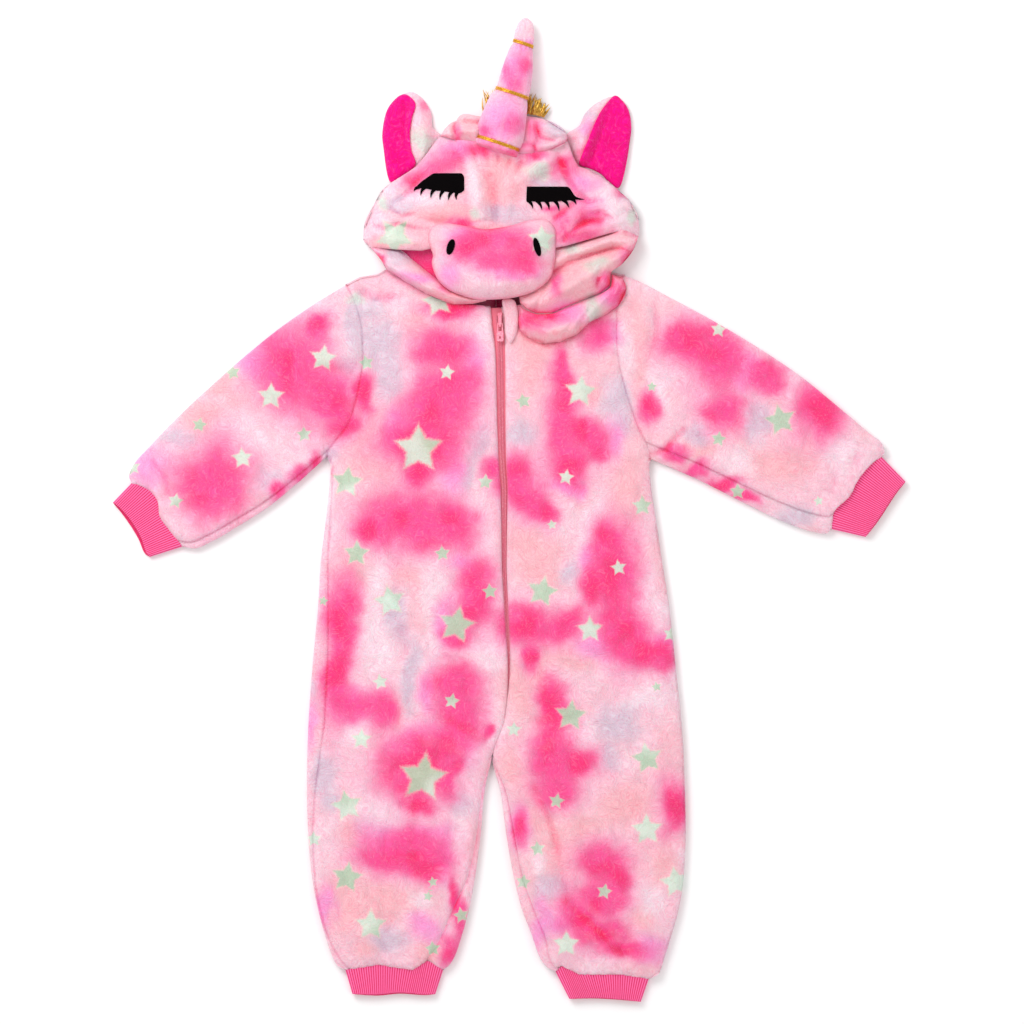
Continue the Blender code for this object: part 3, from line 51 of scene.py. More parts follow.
def smoothThrough(knots, values, at):
    # Monotone cubic through the knots: slopes are harmonic means, and 0 where the values turn.
    s = np.asarray(knots, float)
    v = np.asarray(values, float).reshape(len(s), -1)
    step = np.diff(s)[:, None]
    rise = np.diff(v, axis=0) / step
    slope = np.empty_like(v)
    slope[0], slope[-1] = rise[0], rise[-1]
    before, after = rise[:-1], rise[1:]
    heavy, light = 2 * step[1:] + step[:-1], step[1:] + 2 * step[:-1]
    with np.errstate(divide="ignore", invalid="ignore"):
        mean = (heavy + light) / (heavy / before + light / after)
    slope[1:-1] = np.where(before * after > 0, mean, 0)
    t = np.asarray(at, float)
    k = np.clip(np.searchsorted(s, t, side="right") - 1, 0, len(s) - 2)
    u = ((t - s[k]) / (s[k + 1] - s[k]))[:, None]
    h = step[k]
    out = (2 * u**3 - 3 * u**2 + 1) * v[k] + (u**3 - 2 * u**2 + u) * h * slope[k]
    out += (3 * u**2 - 2 * u**3) * v[k + 1] + (u**3 - u**2) * h * slope[k + 1]
    return out if np.ndim(values) > 1 else out[:, 0]


def lengths(points):
    # The running length along the points: the sum of the steps so far.
    p = np.asarray(points, float)
    return np.concatenate([[0], np.cumsum(np.linalg.norm(np.diff(p, axis=0), axis=1))])


def along(points, shares):
    # Points on the smooth curve, at shares of its length.
    s = lengths(points)
    return smoothThrough(s, points, np.asarray(shares, float) * s[-1])


def atShare(line, shares):
    # Points at shares of a line's length, on its straight runs; shares may have any shape.
    s = lengths(line)
    line = np.asarray(line, float)
    return np.stack([np.interp(np.asarray(shares) * s[-1], s, line[:, k]) for k in (0, 1)], -1)


def loopThrough(points, count):
    # A closed Catmull-Rom curve through the points, then evenly spaced along its length.
    p = np.asarray(points, float)
    t = np.arange(8)[:, None, None] / 8
    a, b, c, d = (np.roll(p, shift, 0) for shift in (1, 0, -1, -2))
    fine = b + 0.5 * t * (c - a) + t**2 * (a - 2.5 * b + 2 * c - 0.5 * d)
    fine = fine + t**3 * (1.5 * (b - c) + 0.5 * (d - a))
    ring = fine.transpose(1, 0, 2).reshape(-1, 2)
    return atShare(np.vstack([ring, ring[:1]]), np.arange(count) / count)


def gapTo(points, lines):
    # Distance from each point to the nearest stretch of the lines, that stretch and the share along it.
    shape = np.shape(points)[:-1]
    flat = np.asarray(points, float).reshape(-1, 2)
    a = np.concatenate([np.asarray(line, float)[:-1] for line in lines])
    run = np.concatenate([np.diff(np.asarray(line, float), axis=0) for line in lines])
    squared = np.maximum((run**2).sum(1), 1e-9)
    found = []
    for part in np.array_split(flat, len(flat) // 6000 + 1):
        reach = part[:, None] - a
        u = np.clip((reach * run).sum(2) / squared, 0, 1)
        gap = np.linalg.norm(reach - u[..., None] * run, axis=2)
        nearest = gap.argmin(1)
        rows = np.arange(len(part))
        found.append(np.column_stack([gap[rows, nearest], nearest, u[rows, nearest]]))
    found = np.concatenate(found).T.reshape(3, *shape)
    return found[0], found[1].astype(int), found[2]


def rounded(distance, reach):
    # 0 at an edge and 1 from reach inwards, round like a quarter of an ellipse.
    return np.sqrt(1 - (1 - np.clip(np.asarray(distance) / reach, 0, 1)) ** 2)


def eased(low, high, value):
    # 0 up to low and 1 from high, and between them 3t^2 - 2t^3 of the share t.
    t = np.clip((value - low) / (high - low), 0, 1)
    return t * t * (3 - 2 * t)


def foldHeight(plan, folds):
    # Each fold is a soft ridge or trough: its height times a bell curve of the distance to its line,
    # lower towards the line's two ends.
    total = np.zeros(plan.shape[:-1])
    for width, height, *line in folds:
        gap, nearest, u = gapTo(plan, [line])
        place = (nearest + u) / (len(line) - 1)
        fade = 0.35 + 0.65 * np.sin(math.pi * np.clip(place, 0.03, 0.97)) ** 0.6
        total += height * fade * np.exp(-((gap / width) ** 2))
    return total


def lobeHeight(plan, lobes):
    # The highest of the round rolls that run along rows of knots (x, y, width, height).
    best = np.zeros(plan.shape[:-1])
    for lobe in lobes:
        knots = np.array(lobe, float)
        gap, k, u = gapTo(plan, [knots[:, :2]])
        width = knots[k, 2] + u * (knots[k + 1, 2] - knots[k, 2])
        height = knots[k, 3] + u * (knots[k + 1, 3] - knots[k, 3])
        best = np.maximum(best, height * np.exp(-1.3 * (gap / width) ** 2))
    return best


def softNoise(plan, cell, seed):
    # Random values on a square lattice, from -1 to 1, blended smoothly between its corners. It
    # repeats after size cells, and the plan lies well inside its positive quarter.
    size = 89
    table = np.random.default_rng(seed).uniform(-1, 1, (size, size))
    u, v = plan[..., 0] / cell + size * 4.3, plan[..., 1] / cell + size * 4.6
    i, j = np.floor(u).astype(int), np.floor(v).astype(int)
    f, g = u - i, v - j
    f, g = f * f * (3 - 2 * f), g * g * (3 - 2 * g)
    low = (1 - f) * table[i % size, j % size] + f * table[(i + 1) % size, j % size]
    high = (1 - f) * table[i % size, (j + 1) % size] + f * table[(i + 1) % size, (j + 1) % size]
    return (1 - g) * low + g * high


def packed(count, power=1.0):
    # Shares from 0 to 1 that lie closer together near both ends.
    t = np.linspace(0, 1, count)
    return (1 - power) * t + power * (0.5 - 0.5 * np.cos(math.pi * t))


# The dyed cloth, with painted shade and highlight among its clouds: colours in sRGB, places and sizes in
# centimetres.


def linear(red, green, blue):
    # sRGB steps as linear light: a power of 2.4, with a straight foot near black.
    c = np.array([red, green, blue]) / 255
    return np.where(c <= 0.04045, c / 12.92, ((c + 0.055) / 1.055) ** 2.4)


coloursOfDyeAndShadow = {
    "pale": linear(254, 212, 224),
    "white": linear(255, 236, 243),
    "salmon": linear(254, 195, 201),
    "hot": linear(255, 84, 156),
    "deep": linear(255, 60, 128),
    # painted shadow, not a dye: the neck's deep gap above the zip
    "paintedNeckShadow": linear(196, 40, 96),
    "rose": linear(255, 150, 200),
    "violet": linear(255, 158, 218),
    "lavender": linear(221, 209, 222),
    "mint": linear(203, 230, 212),
}

# Clouds of each dye on the body and sleeves, some of them painted shade: x, y, and the half sizes.
bodyHotAndCreaseShade = [
    (-7, 17.5, 2.7, 2), (-6, 13, 3, 2.3), (-7.5, 10.5, 3.5, 2.3), (-9.5, 7, 4, 2.5), (-15, 12.5, 1, 2),
    (-6, 21.3, 2.5, 0.8), (-9.5, 4, 1.5, 1.5), (-9.5, -1, 5, 2.8), (-14, -2, 1.8, 1.6),
    (-5.5, -1.5, 1.6, 2.5), (-1.3, 4.7, 1, 1), (-17.5, -11.5, 1.5, 4), (-18, -17.5, 1.3, 4.5),
    (-16, -20.5, 1.8, 1.5), (-13.3, -21, 1.3, 2), (-3.7, -7.7, 2, 2.2), (-3.5, -10.5, 2, 2.3),
    (-5.5, -13.3, 1.5, 1.2), (-5.5, -18, 2.2, 2), (-5, -21.5, 2, 3), (-7.5, -24.5, 3.2, 1.5),
    (-9.5, -27.5, 3.7, 2.8), (-5.8, -28, 1, 2.3), (-9.5, -31, 1.7, 1), (-10.5, -35.5, 4, 2),
    (-8, -37.3, 2.2, 1.6), (-12.7, -37, 3, 1.3), (-2.3, -23, 0.6, 1.2), (-5.5, -42, 0.6, 3),
    (-6.6, -46, 1, 1.5), (5.7, 14.3, 1, 2.6), (5.5, 9, 1.8, 3.8), (8.5, 8, 2, 1.5), (9, 6.3, 1.8, 1.4),
    (6, 4.6, 1.8, 1.8), (1, 3.5, 1.8, 2), (2.5, 1, 1.8, 1.8), (3.6, -0.4, 1.3, 1.1), (10.7, -3, 1.8, 2.8),
    (11.5, -7, 2, 3.8), (9, -8, 1.3, 2.3), (2, -12, 2.8, 2), (6, -12, 2.3, 1.6), (12, -12.5, 2.3, 2.8),
    (14, -15, 2.2, 1.8), (16.3, -15.7, 1.3, 1.8), (2.5, -15.5, 0.8, 1.4), (4.5, -21, 1.3, 2.8),
    (4.5, -26, 2, 3.2), (7, -26.5, 2.2, 1.8), (5.5, -29.5, 2, 1.3), (17.2, -31, 1.6, 2.6),
    (10, -37, 2.6, 2.2), (9.5, -41, 2.6, 1.8), (12, -39, 1.3, 1.8), (7, -42.5, 2, 1.7),
    # The last cloud of the next row, at (9.4, 18.6), is hot dye grown into painted shade under the collar
    # roll.
    (9.5, -44.5, 2.8, 1.4), (12, -46.3, 2.8, 0.9), (1.3, -33.5, 0.8, 1.8), (9.4, 18.6, 1.5, 1.3),
    (-23, 15, 3.5, 4), (-19.5, 19, 1.3, 1.6), (-19, 11.5, 2.6, 3), (-18, 9, 1.6, 1.4), (-31, 3, 3.3, 3.8),
    (18.5, 17.5, 2.5, 2.3), (22, 16.5, 2.6, 3), (14.8, 10.5, 1, 1.5), (22.5, 10.5, 2.3, 2.3),
    # From (17, 6) on, the thin rows of clouds along both underarms are painted shade in the armpit creases,
    # not dye.
    (32.5, 10.5, 2.6, 3), (27, 14.5, 2, 1.5), (17, 6, 1.4, 0.6), (19.6, 4.2, 1.6, 0.7),
    (22.5, 2.6, 1.8, 0.7), (25, 1, 1.4, 0.6), (-20.2, 5.2, 0.9, 0.9), (-22, 3.8, 1, 0.9),
    (-23.8, 2.2, 1, 0.8),
]
bodyViolet = [
    (-37.5, 4, 2, 2), (-4, 15.5, 1.2, 2.8), (-11.6, 8.5, 1.3, 2), (-6, 4.5, 1.2, 2), (-5.5, -5.6, 1.3, 0.8),
    (-6.6, -12, 0.8, 2), (-16.3, -20.5, 2, 1.5), (-8, -19, 0.8, 2), (-8, -25, 3.6, 2), (-13, -34.5, 2, 1.5),
    (-8.5, -34, 2, 0.8), (9.5, -14.6, 2.3, 1.2), (16, -14, 1.5, 1), (8.6, -5, 0.8, 1.6), (6, 2.7, 1.4, 0.8),
    (1.3, -33, 1, 1.8), (3.3, -43.5, 0.7, 2.5), (-19.3, -41.5, 0.8, 2), (-9, -44, 1.4, 1.1),
    (5, -43.5, 1.2, 1.2), (15, -46, 1.2, 1.2), (11.5, 7.5, 0.8, 1.8), (-6.5, -36.5, 0.7, 2.5),
    (10.6, 18.5, 1.2, 1), (-17.5, 12.5, 1, 1), (-20.5, -22.5, 0.6, 2), (25, 15, 1.5, 1.5),
    (-27, 15.5, 1.5, 1.5),
]
bodySalmon = [
    (-15.5, 9, 2.2, 2.8), (-14.5, 4.5, 2, 1.8), (-12, 4, 1.8, 1.1), (-16.7, -6.5, 1.6, 1.8),
    (-11, -7, 1.3, 1.3), (2.5, 15, 1.8, 2.8), (4, 18, 2.8, 1.3), (2, -4, 2.6, 1.8), (3, -6.5, 2.3, 1),
    (12.2, 2, 1.3, 2.8), (14, 13.5, 1, 2.4), (5.5, -14.6, 1.8, 1.2), (1.5, -19, 2, 3), (3, -17, 1, 1.8),
    (7.5, -16.3, 1.8, 0.8), (-12.5, -24, 1.3, 2.8), (-16.6, -34.5, 1, 1.4), (-18, -41, 1.8, 2.8),
    (-13, -41, 3.6, 1.8), (3, -31.5, 1.8, 2.6), (5.5, -36, 1.8, 2.8), (12, -31, 2.8, 1.8),
    (16.6, -37, 1, 1.8), (14.5, -43, 1, 1.4), (-9.5, 19.5, 1.2, 1.2), (8.4, 12, 1, 1.2),
    (-13.7, 1.2, 1.5, 0.8), (28, 5, 3, 2), (-33, 10, 2, 1.6), (20, 6, 2, 1), (13.6, 19, 1.4, 3),
    (-8.5, -46, 1.5, 1), (0.5, -27, 1.2, 1.5), (-15.5, -46, 1.2, 0.7), (-31, 13.5, 1.5, 1),
    (8, -33, 2, 1.2),
]
bodyWhite = [
    (-13.6, -7, 1.4, 1.4), (-14, -13, 1.6, 3.4), (-8, -8, 0.9, 2.8), (-7.7, -14.7, 0.9, 2.8),
    (-2.8, -1, 0.9, 4), (-2, -15, 1.4, 1.8), (8.5, -2.6, 1.2, 2.6), (9, 0.5, 1.4, 1.4), (14, -8, 1, 2.8),
    (15, -11, 1.4, 1.4), (-2.6, 18.5, 1, 1.8), (-3.5, 9.6, 1, 1.2), (-13.3, -31.5, 1.6, 1.6),
    (-16.5, -23.5, 1.2, 1), (12.3, 17, 0.8, 2.5), (-5, -34, 0.7, 2), (-19, 2, 0.6, 4), (14, -20, 2, 1),
    (8, -23.5, 1, 1), (15.6, 12, 1.2, 2.4), (-16.6, 18, 1.4, 2.4), (-9, -41.3, 1, 1), (3.4, -37.5, 1, 1.2),
    (29.5, 15, 2, 1.5), (35, 6, 1.5, 2), (-26.5, 8, 1.6, 1.6), (24, 5, 1.5, 1.5), (-34, 6, 1.4, 1.4),
    (15.5, -41, 1, 1.4),
]
bodyLavender = [
    (-14, 21.4, 1.6, 0.9), (-13.5, 17.5, 1.8, 2.8), (-12.5, 14.3, 1.6, 2.2), (-17, 14.7, 1.3, 1.8),
    (-3.6, 7, 1.3, 1.8), (-4.6, 4, 1.2, 1.8), (-18.3, 6.2, 1, 0.9), (-11.5, -10.5, 1.4, 2.8),
    (-10.3, -17.5, 1, 4), (-19, -27.5, 1.3, 2.3), (-18.3, -31, 1.1, 1.4), (-5, -31, 0.9, 1.4),
    (-13, -45, 1.8, 1.3), (-20.3, -19, 0.6, 0.9), (1, 8, 1.6, 1.8), (11, 12, 1.4, 2.2), (12, 9, 1.1, 1.8),
    (6.5, -6, 1.2, 1.3), (11.5, -22.3, 2.5, 2.2), (10.5, -25.8, 1.3, 1.3), (4.5, -40, 1.8, 1.3),
    (-35.5, 8, 2.6, 1.3), (-25, 3, 2.2, 1.3), (26, 9.5, 1.3, 2.2), (19.8, 7.6, 1.3, 1),
    (30.5, -0.5, 1.8, 0.9), (-15.5, 21.6, 1.4, 1.4), (-16, 19, 1.2, 2),
]
# Stars: x, y and the size from point to point.
bodyStars = [
    (-9.5, 6.5, 4.5), (-6.5, 14.5, 1.5), (-7.5, 22, 3), (-17, 3, 3), (-16, -4.5, 2.5), (-12.5, -9.5, 3),
    (-5.5, -12, 3.5), (-2, -8.5, 1.5), (-7, -4.5, 1.5), (-6, -20, 1.5), (-13.5, -18, 1.5), (-15.5, -24, 2),
    (-9, -28, 4.5), (-17, -31, 3), (-17, -38.5, 3), (-14.5, -43.5, 3), (-8, -39, 1), (-8.5, -40.5, 1),
    (-8, -46, 1.5), (-20.5, -34.5, 1.5), (-19.5, -9.5, 1), (-15, 15.5, 1.5), (-2.5, 3, 1.5), (7.5, 12.5, 3),
    (1.5, 11.5, 1.5), (6, 3.5, 1.5), (14, 0.5, 2), (4.5, -1.5, 1), (3.5, -8.5, 3), (11.5, -6, 1.5),
    (8.5, -12.5, 2.5), (17, -13, 1.5), (15.5, -18.5, 1), (6.5, -21.5, 3), (0.5, -23, 1.5), (14.5, -26, 3),
    (5, -30.5, 1.5), (14.5, -33.5, 3), (3, -35.5, 1.5), (10, -40, 1.5), (17.5, -39, 3), (6, -45.5, 2.5),
    (1.5, -39, 1.5), (-5, -42.5, 1.5), (-19.5, 16, 2.5), (-25, 12, 2.5), (-29, 14.5, 1.5), (-32.5, 9, 1.5),
    (-21.5, 8, 1.5), (-28, 5.5, 2), (-35, 1, 1.5), (-39.5, 4.5, 1.5), (15, 13, 1), (22, 19, 1.5),
    (28.5, 9.5, 3), (22, 7.5, 1.5), (24, 2, 1.5), (32.5, 1, 1),
]
# force: how strong the hot pink is. edge: how sharp its clouds end. A star may have its turn as well.
hoodDyeAndRidgeHighlight = {
    "force": 0.8, "edge": 1.5,
    "hot": [(-6.3, 37, 1.7, 1.1), (-8, 35.9, 1.5, 1), (-9.8, 34.8, 1.3, 0.9), (6.2, 36, 1.7, 1.2),
            (7, 28.9, 2.4, 1), (8.4, 30.6, 1.6, 1.5), (5.4, 30.6, 0.8, 0.8), (-2.5, 38, 2.2, 0.7),
            (2.6, 37.4, 1.2, 0.6), (-5, 29.9, 1.2, 0.6), (11.8, 33.6, 0.8, 0.6), (4.4, 31.9, 0.9, 0.4)],
    "violet": [(8.2, 31.6, 1.2, 1), (-5.6, 38.2, 1.6, 0.8), (8, 34.2, 1.4, 0.8)],
    "salmon": [(-0.6, 35.4, 2.2, 2.8), (-6.8, 31.2, 3, 1), (-1.8, 32.6, 1.2, 1.4),
               (-12.6, 27.8, 1.4, 0.6)],
    # The first white cloud, a thin band down the nose's bridge, is a painted highlight on its ridge.
    "white": [(-3.5, 34, 0.7, 3), (-8, 33, 2, 0.7), (10.6, 33, 1.6, 1), (11.4, 30.4, 1, 1.5)],
    "lavender": [(-0.4, 31.1, 2.3, 1.1), (-11.8, 32.2, 1.7, 0.9), (4.4, 34.5, 1.8, 0.5)],
    "mint": [(3.1, 35.7, 1.3, 0.8), (-3.6, 30.8, 0.7, 0.7), (-13.3, 32.3, 0.6, 1), (13, 30.6, 0.4, 0.9)],
    "stars": [(-12, 28.7, 3.7, 38)],
}
rollDye = {
    "force": 0.8, "edge": 1.5,
    "hot": [(11.6, 22.8, 0.9, 1.3), (2.3, 19.9, 1.6, 0.9), (4.6, 20.3, 1.2, 0.5), (10.3, 24, 0.8, 0.6),
            (12.6, 26.6, 0.9, 0.7), (-6.6, 23.6, 0.8, 0.5), (5, 23.6, 0.6, 1), (-13.7, 26.4, 0.5, 0.5)],
    "violet": [(6.3, 20.7, 1.9, 1), (10.6, 22.6, 1.2, 0.8), (-9.5, 24.6, 2, 0.5)],
    "lavender": [(-12, 26.6, 1.2, 1.1)],
    "salmon": [(4, 18.4, 3.6, 1.4), (8.6, 19.6, 2.6, 1.2), (6, 24, 4.6, 3), (10.6, 26.6, 3, 2),
               (-5, 22.6, 3, 0.8)],
    "mint": [(6.6, 27.3, 1, 0.5), (9.2, 25.9, 1.4, 0.7), (8.7, 21.2, 1.1, 1.3)],
}
crownDye = {
    "force": 0.7, "edge": 1.3,
    "hot": [(2.7, 39.6, 0.8, 1.4), (1.4, 38, 1.4, 0.5), (-5.6, 39.6, 0.4, 0.8)],
    "salmon": [(-4.6, 40.4, 2.6, 1.6)], "lavender": [(4.6, 40.2, 1.2, 0.9)],
}
muzzleDye = {
    "force": 0.92, "edge": 1.7,
    "hot": [(-1.5, 28.4, 3.2, 1.5), (-4.4, 27.4, 1.6, 1.3), (1.6, 26.4, 1.7, 1.5), (-1.6, 26, 2, 1.1)],
    "violet": [(-6.3, 24.6, 1.2, 1.3), (-4.4, 29, 1.6, 0.8), (0.4, 24.9, 2.4, 0.7)],
    "lavender": [(-7, 26.2, 0.6, 1)], "mint": [(3.7, 28.2, 0.8, 1)], "stars": [(3.4, 28.4, 2.6, 0)],
}
hornDye = {
    "force": 0.75, "edge": 1.3,
    "hot": [(-2.6, 37.7, 1.8, 0.8), (0, 37.2, 1.8, 0.7), (0.7, 44.6, 0.9, 1), (1.6, 46.6, 0.8, 1),
            (-0.4, 46, 0.6, 0.8), (0.2, 40.4, 1.2, 0.8), (-2.6, 39.8, 0.7, 0.8)],
    "violet": [(-0.6, 41.4, 2.4, 1.8), (0.9, 46, 1.7, 1.8), (1.6, 48.6, 1, 0.6), (-1.6, 39.4, 1.6, 0.8)],
    "lavender": [(0.6, 46.5, 0.8, 0.4)],
}
earDye = {
    "force": 0.5, "edge": 1.3,
    "hot": [(7.6, 37.2, 0.7, 0.9), (-8.6, 42.6, 0.7, 0.5)], "violet": [(8.4, 40, 0.8, 1)],
    "lavender": [(8.2, 41.6, 0.9, 0.7)], "mint": [(-9.2, 38.8, 0.9, 1.5)],
}
# The hood's hidden inside: hot pink all over, and a painted shadow at its lower edge in the neck's gap above
# the zip.
recessHotAndNeckShadow = {
    "force": 1.0, "edge": 2.0, "hot": [(-9, 26, 6, 3), (9, 27, 6, 4), (-2, 36, 12, 6)],
    "paintedNeckShadow": [(-1, 22, 4, 1.2)],
}
bodyDyeAndCreaseShade = {
    "force": 0.96, "edge": 2.0, "hot": bodyHotAndCreaseShade, "violet": bodyViolet, "salmon": bodySalmon,
    "white": bodyWhite, "lavender": bodyLavender, "mint": [(-15.8, 22.6, 1, 0.6)], "stars": bodyStars,
}
# The back panels, with a painted shadow where they show in the neck's gap above the zip.
backDyeAndNeckShadow = {**bodyDyeAndCreaseShade, "paintedNeckShadow": [(-0.6, 21.8, 2.4, 1.5)]}


def cloudShare(plan, clouds, spread, power):
    # How much of each cloud's colour, dye and painted shade alike, is in the cloth: 1 inside the ellipses,
    # falling off over their soft rims.
    clear = np.ones(len(plan))
    for x, y, across, up in clouds:
        far = ((plan[:, 0] - 10 * x) / (10 * across)) ** 2 + ((plan[:, 1] - 10 * y) / (10 * up)) ** 2
        clear *= 1 - np.exp(-0.62 * (far / spread) ** power)  # about half is left at the ellipse itself
    return 1 - clear


def dyeAndPaintedLightColours(plan, dyeAndPaintedLight, seed):
    # Layers of dye over pale pink, and last a painted shadow at the neck, each mixed in by its clouds, whose
    # places wander a little.
    def drift(cell, first):
        return np.column_stack([softNoise(plan, cell, seed + first), softNoise(plan, cell, seed + first + 1)])

    def clouds(name, spread, power, shift=0):
        return cloudShare(moved + shift, dyeAndPaintedLight.get(name, []), spread, power)

    small = len(dyeAndPaintedLight.get("stars", [])) < 5
    slow, quick, fringe = (16, 7, 4.5) if small else (34, 12, 4.5)
    moved = plan + (drift(slow, 0) * slow * 0.2 + drift(quick, 2) * quick * 0.28 + drift(fringe, 7) * 1.1)
    redder = eased(-0.4, 0.6, softNoise(plan, 17, seed + 6))
    layers = [
        ("white", 0.4 * eased(0.0, 0.6, softNoise(plan, 40, seed + 4))),
        ("salmon", 0.45 * eased(0.0, 0.6, softNoise(moved, 33, seed + 5))),
        ("salmon", 0.95 * clouds("salmon", 1.2, 1.4)),
        ("white", 0.85 * clouds("white", 1.1, 1.5)),
        ("lavender", 0.92 * clouds("lavender", 1.05, 1.8)),
        ("rose", 0.75 * dyeAndPaintedLight["force"] * clouds("hot", 1.6, 1.6, 1)),
        ("violet", 0.85 * clouds("violet", 1.0, 1.4)),
        ("hot", dyeAndPaintedLight["force"] * clouds("hot", 1.05, dyeAndPaintedLight["edge"])),
        ("deep", 0.9 * dyeAndPaintedLight["force"] * clouds("hot", 0.45, 1.4) * redder),
        ("mint", 0.8 * clouds("mint", 0.9, 1.8)),
        # last, the painted shadow in the neck's gap, not a dye
        ("paintedNeckShadow", clouds("paintedNeckShadow", 1.2, 2)),
    ]
    colour = np.tile(coloursOfDyeAndShadow["pale"], (len(plan), 1))
    for name, share in layers:
        colour += (coloursOfDyeAndShadow[name] - colour) * share[:, None]
    return colour


def starPlaces(plan, stars):
    # Each point's place in its nearest star, in star radii, and 1 close to one. Stars turn by up to 12
    # degrees, each by its own number.
    if not stars:
        return np.zeros((len(plan), 3)) + (5, 5, 0)
    table = np.array([(*star, 0)[:4] for star in stars], float) * (10, 10, 10, 1)
    turn = np.radians(table[:, 3] + 12 * np.sin(np.arange(len(table)) * 2.3))
    offset = plan[:, None] - table[:, :2]
    radius = table[:, 2] * 0.55
    local = np.stack([
        offset[..., 0] * np.cos(turn) - offset[..., 1] * np.sin(turn),
        offset[..., 0] * np.sin(turn) + offset[..., 1] * np.cos(turn),
    ], -1) / radius[:, None]
    nearest = np.linalg.norm(local, axis=2).argmin(1)
    place = local[np.arange(len(plan)), nearest]
    return np.column_stack([place, np.linalg.norm(place, axis=1) < 1.3])


def bothWays(first, second, here):
    # Above 0 where both neighbours are higher (a crease), below 0 where both are lower (a crest).
    return np.maximum(np.minimum(first, second) - here, 0) + np.minimum(np.maximum(first, second) - here, 0)


def hollows(z, closed, rule=bothWays):
    # Creases and crests of the grid's heights along its rows and columns, at three distances.
    total = np.zeros(z.shape)
    n, m = z.shape
    for reach, weight in ((2, 1.0), (5, 0.6), (9, 0.35)):
        wide = np.pad(z, ((reach, reach), (0, 0)), mode="edge")
        wide = np.pad(wide, ((0, 0), (reach, reach)), mode="wrap" if closed else "edge")
        found = rule(wide[:n, reach:-reach], wide[-n:, reach:-reach], z)
        found = found + rule(wide[reach:-reach, :m], wide[reach:-reach, -m:], z)
        total += weight * np.clip(found, -2.5, 2.5)
    return total


def meanOver(first, second, here):
    # How far the mean of both neighbours lies above the point.
    return (first + second) / 2 - here


# Meshes.


def quadsOf(rows, columns, closed):
    # The four corners of each cell of a grid of points; closed joins the last column to the first.
    index = np.arange(rows * columns).reshape(rows, columns)
    if closed:
        index = np.column_stack([index, index[:, 0]])
    corners = index[:-1, :-1], index[:-1, 1:], index[1:, 1:], index[1:, :-1]
    return np.stack(corners, -1).reshape(-1, 4)


def turnedIn(grid, layer, down=2.4, inside=1.0, overlap=0.7, joined=0.0):
    # One more row and column all round, moved in and under, so that a sewn edge shows no cut side.
    # The edge itself laps a little over its neighbour's. Where joined is 1 the new row goes on
    # outwards instead and dips below the neighbour, so that the two cross in a shallow groove.
    # Corners are never joined.
    out = np.pad(grid, ((1, 1), (1, 1), (0, 0)), mode="edge")
    side = np.pad(np.broadcast_to(layer, grid.shape[:2]), 1, mode="edge")
    joined = np.pad(np.broadcast_to(np.clip(joined * 1.1, 0, 1), grid.shape[:2]), 1, mode="edge")
    joined = np.where(side > 0, joined, 0)
    for row in (slice(0, 5), slice(-5, None)):
        joined[row, :5] = joined[row, -5:] = 0
    for edge, rim, back in ((0, 1, 4), (-1, -2, -5)):
        for view, share in ((out, joined), (out.transpose(1, 0, 2), joined.T)):
            share = share[rim][:, None]
            toward = view[back, :, :2] - view[edge, :, :2]
            toward /= np.maximum(np.linalg.norm(toward, axis=1), 0.1)[:, None]
            view[rim, :, :2] -= toward * (overlap + (0.3 - overlap) * share)
            view[edge, :, :2] += toward * (inside - (inside + 1.7) * share)
    border = np.ones(out.shape[:2], bool)
    border[1:-1, 1:-1] = False
    out[..., 2] -= np.where(border, (down + (0.9 - down) * joined) * side, 0)
    return out


def closedLine(loop):
    # The loop with its first point again at its end, as the one line of a list.
    return [np.vstack([loop, loop[:1]])]


def mark(mesh, name, kind, values):
    # One value for each point, which the material reads by its name.
    field = {"FLOAT": "value", "FLOAT_VECTOR": "vector", "FLOAT_COLOR": "color"}[kind]
    mesh.attributes.new(name, kind, "POINT").data.foreach_set(field, values.ravel())


def addPiece(name, grid, look, replaced=(), closed=False, facing=None, dyeAndPaintedLight=None, deep=None):
    # The grid of points as one mesh, its poles merged and its faces outwards, with its dye and painted light
    # on it.
    faces = quadsOf(*grid.shape[:2], closed)
    # By default deep is the grid's creases and crests, which the plush and lining paint as shade and
    # highlight.
    deep = hollows(grid[..., 2], closed) if deep is None else deep
    return addMesh(name, grid.reshape(-1, 3), faces, look, replaced, facing, dyeAndPaintedLight, deep)


